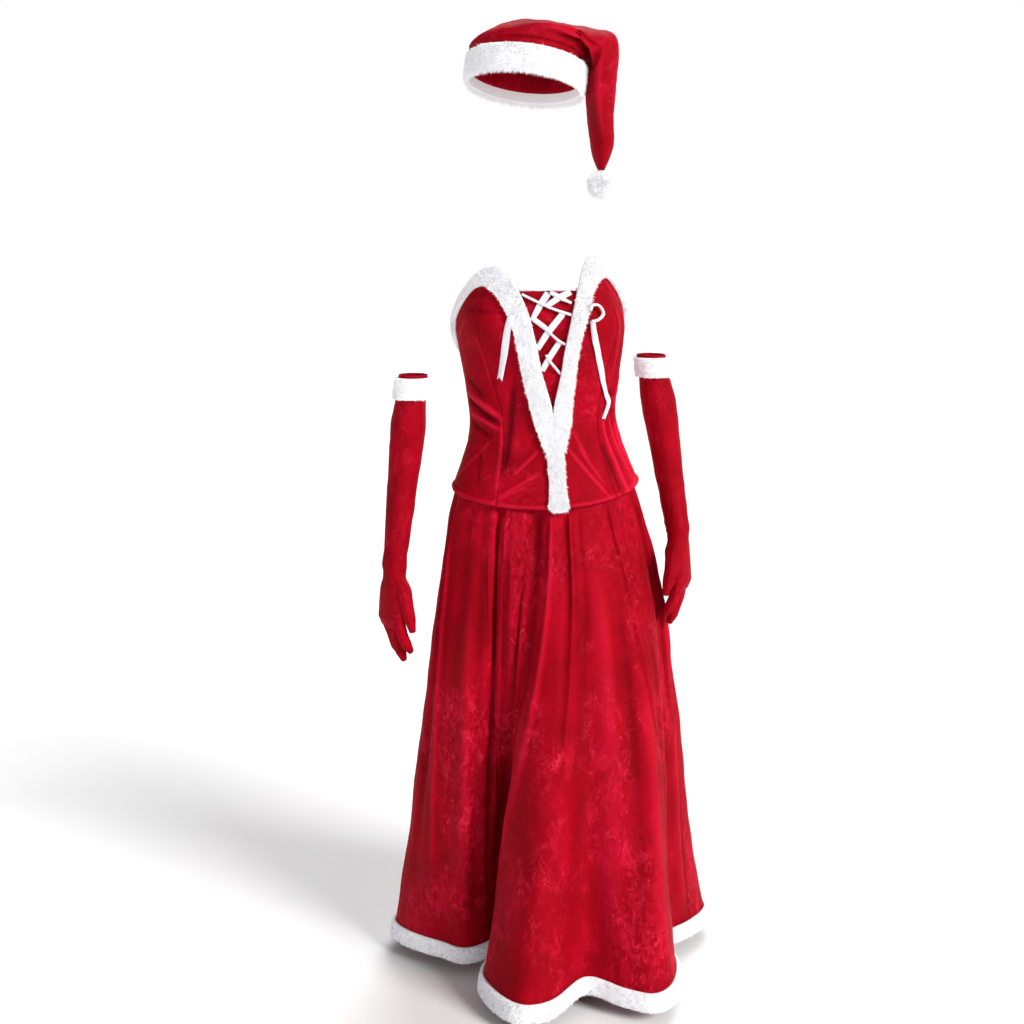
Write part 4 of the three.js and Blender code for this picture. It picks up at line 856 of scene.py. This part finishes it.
# Creases on the map of waist angle times the map's scale and height. First the folds that drop from the middle
# of the front, then the left and right of the front, then the back, which is gathered in the same way.
SKIRT_MAP = 6
SKIRT_CREASES = [
    (-196, -60, -245, -960, 0, -9, 4.6), (-188, -70, -226, -900, 0, 4.6, 4.0),
    (-176, -70, -190, -560, 0, -3.4, 4.0), (-164, -60, -206, -700, -6, 4.4, 6),
    (-128, -60, -170, -620, -6, 3.0, 14), (-77, -150, -230, -960, -4, -10, 14),
    (-58, -40, -84, -560, 4, -6, 14), (-2, -60, -84, -800, 8, 7.0, 7.5), (-60, -420, -112, -980, 6, 5.0, 10),
    (46, -60, 18, -640, 4, -4.6, 7), (58, -60, 28, -700, 4, 3.0, 4.5), (88, -80, 70, -620, 4, -3, 10),
    (120, -200, 150, -1040, 8, 7, 30), (66, -300, 84, -1040, 6, -5, 20),
    (196, -60, 306, -620, -10, -4.4, 7), (206, -60, 318, -640, -10, 3.4, 6),
    (188, -300, 214, -1040, 6, -6, 26),
    (258, -60, 352, -600, -8, -3.0, 7), (250, -420, 262, -1040, 6, 6, 24), (330, -420, 330, -1040, 6, -5, 18),
    (484, -180, 500, -560, 4, 6, 22), (408, -60, 512, -640, -10, -5.0, 8), (424, -60, 526, -660, -10, 4.0, 7),
    (372, -60, 430, -560, -8, 2.4, 6), (462, -100, 560, -760, -8, 4.0, 10),
    (440, -520, 470, -1030, 6, -5, 16), (500, -560, 520, -1040, 6, 5, 18),
    (-452, -100, -424, -980, 0, 7.0, 10), (-500, -160, -520, -960, 0, -5, 16),
    (-370, -160, -350, -900, 6, -1.6, 22), (-310, -260, -308, -1000, 6, 4.6, 24),
    (-272, -420, -276, -1040, 4, -4, 16),
    (-240, -200, -214, -590, 2, 2.4, 6),
    (-436, -214, -262, -208, 3, 1.5, 4), (-430, -236, -280, -228, 4, -1.4, 4),
    (-410, -254, -318, -244, 3, 1.2, 4),
    (560, -190, 590, -900, 8, 5, 26), (650, -120, 640, -880, -8, -5, 22), (690, -200, 700, -700, 4, 4, 12),
    (740, -190, 760, -900, 8, 5, 26), (800, -80, 812, -600, 4, -4, 10), (840, -190, 850, -880, 8, -5, 26),
    (880, -80, 884, -640, 4, 4, 9), (930, -190, 940, -900, 8, 5, 26), (985, -80, 990, -560, 3, -4, 9),
    (1020, -190, 1040, -900, 8, -5, 24), (1060, -80, 1068, -700, 4, 4, 9), (1100, -190, 1130, -900, 8, 5, 24),
    (1190, -190, 1210, -900, 8, -5, 24), (1240, -80, 1236, -620, -4, 4, 9),
    (1290, -190, 1300, -900, 8, 5, 24), (1350, -80, 1340, -560, -4, -4, 10),
    (1390, -190, 1400, -900, 8, -4, 24), (1480, -190, 1500, -860, 8, 4, 22),
]

SKIRT_FREE_START, SKIRT_FREE_FULL = -146, -180
# The seam's dip and width, and the crease height in mm at which the painted highlight and shade are full.
SKIRT_SEAM_DIP, SKIRT_SEAM_WIDTH, SKIRT_CREASE_SHADE = 1.5, 0.7, 15
skirt_velvet = panne_velvet("crushed_panne_velvet_skirt", 20.0, 0.85, 1.6)


def skirt_panel(name, start, end, columns, rows, closer):
    """A skirt panel: its columns stand closer at the deep folds, as the pairs of shares say, and its rows
    close up towards the waist. Creases and slow waves lie over the folds and fade out under the bodice and at
    the side seams."""
    u, v = np.meshgrid(np.interp(np.linspace(0, 1, columns), *closer), np.linspace(0, 1, rows))
    v = 0.35 * v ** 2 + 0.65 * v
    angle = mix(start, end, u)
    flat = skirt_point(angle, v, 0.0)
    free = 1 - smoothstep(flat[..., 2], SKIRT_FREE_FULL, SKIRT_FREE_START)
    near_side = np.minimum(u, 1 - u) * (end - start)
    wave = (1.8 * ripple(flat, 150, 21) + 0.8 * ripple(flat, 60, 22) + 0.3 * ripple(flat, 24, 23)) * free
    creases = ridges(SKIRT_CREASES, angle * SKIRT_MAP, flat[..., 2]) * free
    out = creases + wave - SKIRT_SEAM_DIP * np.exp(-(near_side / SKIRT_SEAM_WIDTH) ** 2)
    out = out * smoothstep(near_side, 0, 2.0)
    # The creases are also painted on the velvet as light and shade: highlight on ridges, shade in hollows.
    piece = cloth_wall(name + "_velvet", on_skirt(angle, v, out), on_skirt(angle, v, out - VELVET),
                       skirt_velvet, crease_light_and_shade=creases / SKIRT_CREASE_SHADE)
    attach(piece, "root")
    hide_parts(name)


skirt_panel("skirt_front", -90, 90, 280, 110, ((0, 0.17, 0.69, 1), (0, 0.24, 0.6, 1)))
skirt_panel("skirt_back", 90, 270, 150, 90, ((0, 1), (0, 1)))

# The waistband lies under the bodice with a gap for the bodice's own cloth.
WAISTBAND_LOW, WAISTBAND_HIGH, WAISTBAND_GAP = -25.6, -2, 3.0
u, v = np.meshgrid(np.linspace(0, 360, 90, endpoint=False), np.linspace(WAISTBAND_LOW, WAISTBAND_HIGH, 5))
band_out = -VELVET - WAISTBAND_GAP + 0 * u
waistband = cloth_wall("skirt_waistband_velvet", on_section(BODICE, u, v, band_out),
                       on_section(BODICE, u, v, band_out - VELVET), skirt_velvet, ring=True)
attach(waistband, "root")
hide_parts("skirt_waistband")

# ---------------------------------------------------------------------------------------------------
# Hem plush: a band of shorter, denser plush, 39 mm wide, sewn round the outside of the hem in two lengths. It
# follows every fold and passes the velvet's edge by 2 mm.
# ---------------------------------------------------------------------------------------------------

HEM_BAND, HEM_OVERLAP, HEM_GAP, HEM_SIDE_GAP = 39, 2, 1.3, 0.08
hem_plush = white_plush("white_hem_plush", shadow="#E2E1EC", glow=0.03)


def hem_place(start, end):
    """Place on the hem plush between two side seams: along it by angle, and down it by share of the skirt."""
    def place(u, v, out):
        """The skirt's outside moved out, from the band's top edge down to a little past the velvet's edge."""
        angle = mix(start + HEM_SIDE_GAP, end - HEM_SIDE_GAP, u)
        return on_skirt(angle, 1 - HEM_BAND * (1 - v) / (SKIRT_TOP - SKIRT_FLOOR), out + HEM_GAP - LAID_GAP,
                        HEM_OVERLAP * v)
    return place


plush_piece("plush_hem_front", hem_place(-90, 90), 320, 9, 14000, 201,
            material=hem_plush, lay=(0, 0, -0.5), length=3.6, inset=0.08)
plush_piece("plush_hem_back", hem_place(90, 270), 230, 9, 9000, 202,
            material=hem_plush, lay=(0, 0, -0.5), length=3.6, inset=0.08)

# ---------------------------------------------------------------------------------------------------
# Hat: a stocking cap of the same velvet in a plush band. The crown folds over to the wearer's left, where
# its tail hangs beside the head and ends in a plush pompom.
# ---------------------------------------------------------------------------------------------------

# The band's middle, its half width and half depth, and its height.
BAND_X, BAND_Y, BAND_Z, BAND_HALF, BAND_DEPTH, BAND_HEIGHT = -32, 8, 622, 101.5, 109.5, 58
BAND_LEAN, BAND_ROLL = math.radians(10), math.radians(7.5)


def on_band(angle, up, half, depth):
    """A point of the band's own leaning frame: an angle round the head and a height over its middle."""
    right, back = half * np.sin(np.radians(angle)), -depth * np.cos(np.radians(angle))
    return np.stack([
        BAND_X + right * math.cos(BAND_ROLL) + up * math.sin(BAND_ROLL),
        BAND_Y + back * math.cos(BAND_LEAN) + up * math.sin(BAND_LEAN),
        BAND_Z - right * math.sin(BAND_ROLL) - back * math.sin(BAND_LEAN) + up * math.cos(BAND_LEAN),
    ], -1)


def band_place(u, v, out):
    """Place on the plush band: round it in one turn, and up it by share of its height."""
    return on_band(360 * u, (v - 0.5) * BAND_HEIGHT, BAND_HALF + out - LAID_GAP, BAND_DEPTH + out - LAID_GAP)


plush_piece("hat_band", band_place, 150, 16, 14000, 301, ring=True, lay=(0, 0, -0.5))
# Longer hairs hang from the band's low edge.
u, v = np.meshgrid(np.linspace(0, 1, 150, endpoint=False), np.linspace(0.05, 0.2, 4))
low_edge = band_place(u, v, LAID_GAP + pile_height(v) * PLUSH_BODY)
hairs("hat_band_fringe_hairs", low_edge, grid_normals(low_edge, True) * 0.3, (0, 0, -1.2), 8.0, 0.65, 5000, 305,
      plush, ring=True)

# The crown's sections from over the band to the tip: the two ends of each in the front view, half its depth,
# its lean in degrees and its place back.
CROWN = table(
    "outer_x outer_z inner_x inner_z half lean back",
    (-118, 684, 78, 656, 108, 9, 8), (-80, 700, 81, 661, 103, 6, 9), (-28, 710, 84, 664, 96, 4, 10),
    (26, 709, 84, 652, 88, 2, 12), (78, 703, 84, 642, 79, 0, 13), (118, 696, 84, 632, 71, 0, 14),
    (131, 662, 77, 616, 63, 0, 15), (129, 610, 78, 596, 55, 0, 16), (126, 560, 83, 558, 47, 0, 17),
    (131, 508, 88, 510, 39, 0, 18), (124, 476, 94, 476, 28, 0, 18), (115, 454, 103, 454, 12, 0, 18),
)
CROWN_SIDES = 100


def crown_rings(shrink, fine):
    """Rings of the crown from inside the band to the tip: the band's own oval first, then each section drawn
    between its outer and inner end, joined by smooth curves along the tube."""
    angle = np.linspace(0, 360, CROWN_SIDES, endpoint=False)
    rings = []
    for up, grow in ((-4, -LAID_GAP), (BAND_HEIGHT / 2 + 1, -LAID_GAP), (BAND_HEIGHT / 2 + 7, 5)):
        out = grow - shrink
        rings.append(on_band(angle, up + 0 * angle, BAND_HALF + out, BAND_DEPTH + out))
    for k in range(len(CROWN["half"])):
        row = {key: column[k] for key, column in CROWN.items()}
        run = np.array([row["inner_x"] - row["outer_x"], row["inner_z"] - row["outer_z"]]) / 2
        reach = np.hypot(*run)
        across = (reach - shrink) * np.sin(np.radians(angle))
        deep = -(row["half"] - shrink) * np.cos(np.radians(angle))
        lean = math.radians(row["lean"])
        rings.append(np.stack([
            (row["outer_x"] + row["inner_x"]) / 2 + across * run[0] / reach,
            row["back"] + deep * math.cos(lean),
            (row["outer_z"] + row["inner_z"]) / 2 + across * run[1] / reach - deep * math.sin(lean)], -1))
    rings = np.array(rings)
    order = {"s": np.arange(len(rings), dtype=float)}
    flat = rings.reshape(len(rings), -1)
    columns = []
    for k in range(flat.shape[1]):
        order["value"] = flat[:, k]
        columns.append(along(order, "s", "value", fine))
    return np.array(columns).T.reshape(len(fine), CROWN_SIDES, 3)


hat_velvet = panne_velvet("crushed_panne_velvet_hat", 22.0, 0.5)
last_ring = len(CROWN["half"]) + 2
fine = np.concatenate([np.linspace(0, 2, 12, endpoint=False), np.linspace(2, last_ring, 120)])
outer = crown_rings(0.0, fine)
normals = grid_normals(outer, ring=True)
centre = outer.mean(1, keepdims=True)
normals *= np.sign(np.sum(normals * (outer - centre), -1, keepdims=True))
# Folds of the crown on the map of ring number times the map's scale and angle: they fan from the fold at the
# left side.
CROWN_MAP, CROWN_CREASE_SHADE = 20, 12
around = np.linspace(0, 360, CROWN_SIDES, endpoint=False)[None, :] + 0 * fine[:, None]
along_tube = fine[:, None] * CROWN_MAP + 0 * around
CROWN_CREASES = [
    (66, -10, 130, 60, 10, 8.5, 9), (60, 20, 120, 84, 8, -6.5, 8), (70, 330, 150, 395, 12, 6, 11),
    (60, 250, 110, 290, 6, 6, 12), (70, 200, 120, 262, 8, -4.5, 12), (66, 130, 116, 200, 8, 4.5, 12),
    (100, -30, 150, 20, 6, -6, 10), (124, 30, 176, 60, 6, 5, 9), (140, 60, 190, 60, 4, -3.5, 9),
    (150, 300, 240, 300, 6, 6, 12), (150, 20, 250, 10, 6, 6, 12), (160, 180, 250, 190, 6, -6, 14),
]
folds = sum(ridges(CROWN_CREASES, along_tube, around + turn) for turn in (-360, 0, 360))
slack = folds + 2.0 * ripple(outer, 60, 41) + 0.7 * ripple(outer, 22, 42)
slack = slack * smoothstep(along_tube, 38, 60) * (1 - 0.7 * smoothstep(along_tube, 240, 285))
outer = outer + normals * slack[..., None]
# The folds are also painted on the velvet as light and shade: highlight on ridges, shade in hollows.
hat_crown = cloth_wall("hat_crown_velvet", outer, outer - normals * VELVET, hat_velvet, ring=True,
                       crease_light_and_shade=folds / CROWN_CREASE_SHADE)
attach(hat_crown, "root")
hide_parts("hat_crown")

# The pompom is a ball of plush round a lumpy core, at the crown's tip.
POMPOM_RADIUS, POMPOM_CORE, POMPOM_WALL = 27, 0.72, 5
low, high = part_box("hat_pompom")
pompom_middle = np.array([(low[k] + high[k]) / 2 / MM for k in range(3)])
u, v = np.meshgrid(np.linspace(0, 2 * math.pi, 40, endpoint=False), np.linspace(0.02, math.pi - 0.02, 24))
ball = np.stack([np.cos(u) * np.sin(v), np.sin(u) * np.sin(v), -np.cos(v)], -1)
lumpy = (POMPOM_RADIUS * POMPOM_CORE * (1 + 0.07 * ripple(ball * 30, 22, 51)))[..., None]
ball_points = pompom_middle + ball * lumpy
pompom = cloth_wall("hat_pompom_core", ball_points, pompom_middle + ball * (lumpy - POMPOM_WALL), plush,
                    ring=True)
hairs("hat_pompom_hairs", ball_points, ball, (0, 0, -0.15), 8.2, 0.65, 6000, 302, plush, ring=True)
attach(pompom, "root")
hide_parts("hat_pompom")

# ---------------------------------------------------------------------------------------------------
# Gloves: elbow-length gloves of the same velvet, cut in two halves with five fingers, with a plush cuff.
# They keep the shape of a hanging, slightly curled hand, and wrinkle at the wrist.
# ---------------------------------------------------------------------------------------------------

glove_velvet = panne_velvet("crushed_panne_velvet_glove", 20.0, 0.45, 1.4)
# The forearm's oval at each way down from the glove's top, and the two ends of its middle line on each side.
ARM = table(
    "down half depth",
    (0, 27, 31), (48, 29, 34), (90, 33, 37), (180, 29, 34), (270, 25, 30), (340, 22, 28),
)
GLOVES = {
    "right": {"side": -1, "elbow": (-240, 14, 82), "wrist": (-280, -24, -268), "cuff_seed": 401},
    "left": {"side": 1, "elbow": (206, 10, 116), "wrist": (254, -30, -208), "cuff_seed": 402},
}
CUFF_HEIGHT, CUFF_PLUSH, CUFF_GAP = 50, 4.5, 0.95
HAND_TURN, HAND_SHORTER = math.radians(26), 0.045
WRINKLE, WRINKLE_LENGTH, WRINKLE_MIDDLE, WRINKLE_REACH = 1.3, 7.5, 335, 34


def arm_point(glove, down):
    """Middle of the forearm a given way down from the top of the glove."""
    share = np.asarray(down, float)[..., None] / ARM["down"][-1]
    return mix(np.array(glove["elbow"], float), np.array(glove["wrist"], float), share)


def smooth_copy(node_name, voxel, rounds, fill):
    """A CAD solid as one even skin: its loose triangles are merged, it is made fuller all round, laid out
    again in fine voxels, and its facets are relaxed away, which takes the fullness back. Then its faces are
    thinned out."""
    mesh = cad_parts[node_name].data.copy()
    body = bmesh.new()
    body.from_mesh(mesh)
    bmesh.ops.remove_doubles(body, verts=body.verts, dist=1e-5)
    body.to_mesh(mesh)
    body.free()
    piece = bpy.data.objects.new(node_name + "_skin", mesh)
    bpy.context.scene.collection.objects.link(piece)
    fuller = piece.modifiers.new("fuller", "DISPLACE")
    fuller.mid_level = 0.0
    fuller.strength = fill * MM
    remesh = piece.modifiers.new("remesh", "REMESH")
    remesh.mode = "VOXEL"
    remesh.voxel_size = voxel * MM
    relax = piece.modifiers.new("relax", "SMOOTH")
    relax.factor = 0.5
    relax.iterations = rounds
    thin_out = piece.modifiers.new("thin_out", "DECIMATE")
    thin_out.ratio = 0.15
    shape = bpy.data.meshes.new_from_object(piece.evaluated_get(bpy.context.evaluated_depsgraph_get()))
    bpy.data.objects.remove(piece)
    return shape


def read_vectors(items, key):
    """A mesh's points or normals as rows of three."""
    values = np.zeros(len(items) * 3)
    items.foreach_get(key, values)
    return values.reshape(-1, 3)


# Each glove: its hand is turned about the wrist and drawn up a little, its arm's two skins are laid on the arm's
# oval and a cloth's thickness inside it, and wrinkles and slack waves move the cloth in and out.
for hand, glove in GLOVES.items():
    name = "glove_" + hand
    shape = smooth_copy(name, 1.2, 14, 2.2)
    points = read_vectors(shape.vertices, "co") / MM
    normals = read_vectors(shape.vertices, "normal")
    down = (glove["elbow"][2] - points[:, 2]) * ARM["down"][-1] / (glove["elbow"][2] - glove["wrist"][2])
    wrinkle = WRINKLE * np.exp(-((down - WRINKLE_MIDDLE) / WRINKLE_REACH) ** 2)
    wrinkle = wrinkle * np.sin(down / WRINKLE_LENGTH + 1.6 * ripple(points, 60, 61))
    loose = 1.2 * ripple(points, 48, 62) + 0.5 * ripple(points, 20, 63)
    shift = (wrinkle + loose * (1 - 0.6 * smoothstep(down, 400, 450))) * smoothstep(down, 30, 70)
    turn = -glove["side"] * HAND_TURN * smoothstep(down, 335, 385)
    from_wrist = points - np.array(glove["wrist"], float)
    points[:, 0] += from_wrist[:, 0] * (np.cos(turn) - 1) - from_wrist[:, 1] * np.sin(turn)
    points[:, 1] += from_wrist[:, 1] * (np.cos(turn) - 1) + from_wrist[:, 0] * np.sin(turn)
    points[:, 2] -= HAND_SHORTER * np.minimum(0, from_wrist[:, 2])
    centre_line = arm_point(glove, np.minimum(down, 340))
    off = points - centre_line
    half, depth = along(ARM, "down", "half", down), along(ARM, "down", "depth", down)
    share = np.maximum(np.hypot(off[:, 0] / half, off[:, 1] / depth), 0.1)
    true_share = np.where(share > 1 - VELVET / 2 / half, 1, 1 - VELVET / half) / share
    level = mix(1, true_share, 1 - smoothstep(down, 335, 390))[:, None]
    points = centre_line + off * (level * [1, 1, 0] + [0, 0, 1])
    outside = np.sign(np.sum(normals * (points - centre_line), 1))
    away = (points - centre_line) / np.maximum(np.linalg.norm(points - centre_line, axis=1, keepdims=True), 1)
    on_arm = 1 - smoothstep(down, 330, 370)[:, None]
    move = away * on_arm + normals * outside[:, None] * (1 - on_arm) * 0.3
    points = points + move * shift[:, None]
    shape.vertices.foreach_set("co", (points * MM).ravel())
    shape.materials.clear()
    shape.materials.append(glove_velvet)
    shape.polygons.foreach_set("use_smooth", np.full(len(shape.polygons), True))
    piece = bpy.data.objects.new(name + "_velvet", shape)
    bpy.context.scene.collection.objects.link(piece)
    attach(piece, "root")
    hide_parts(name)

    def cuff_place(u, v, out, glove=glove):
        """Place on a cuff: round the arm's oval in one turn, and down it by share of the cuff's height."""
        down = v * CUFF_HEIGHT
        turn = 2 * math.pi * u
        reach = out + CUFF_GAP - LAID_GAP
        half, depth = along(ARM, "down", "half", down) + reach, along(ARM, "down", "depth", down) + reach
        middle = arm_point(glove, down - 2)
        return middle + np.stack([half * np.sin(turn), -depth * np.cos(turn), 0 * turn], -1)

    plush_piece("cuff_" + hand, cuff_place, 70, 12, 4000, glove["cuff_seed"], ring=True,
                pile=lambda across, _: pile_height(across) * CUFF_PLUSH / PLUSH, length=4.8)
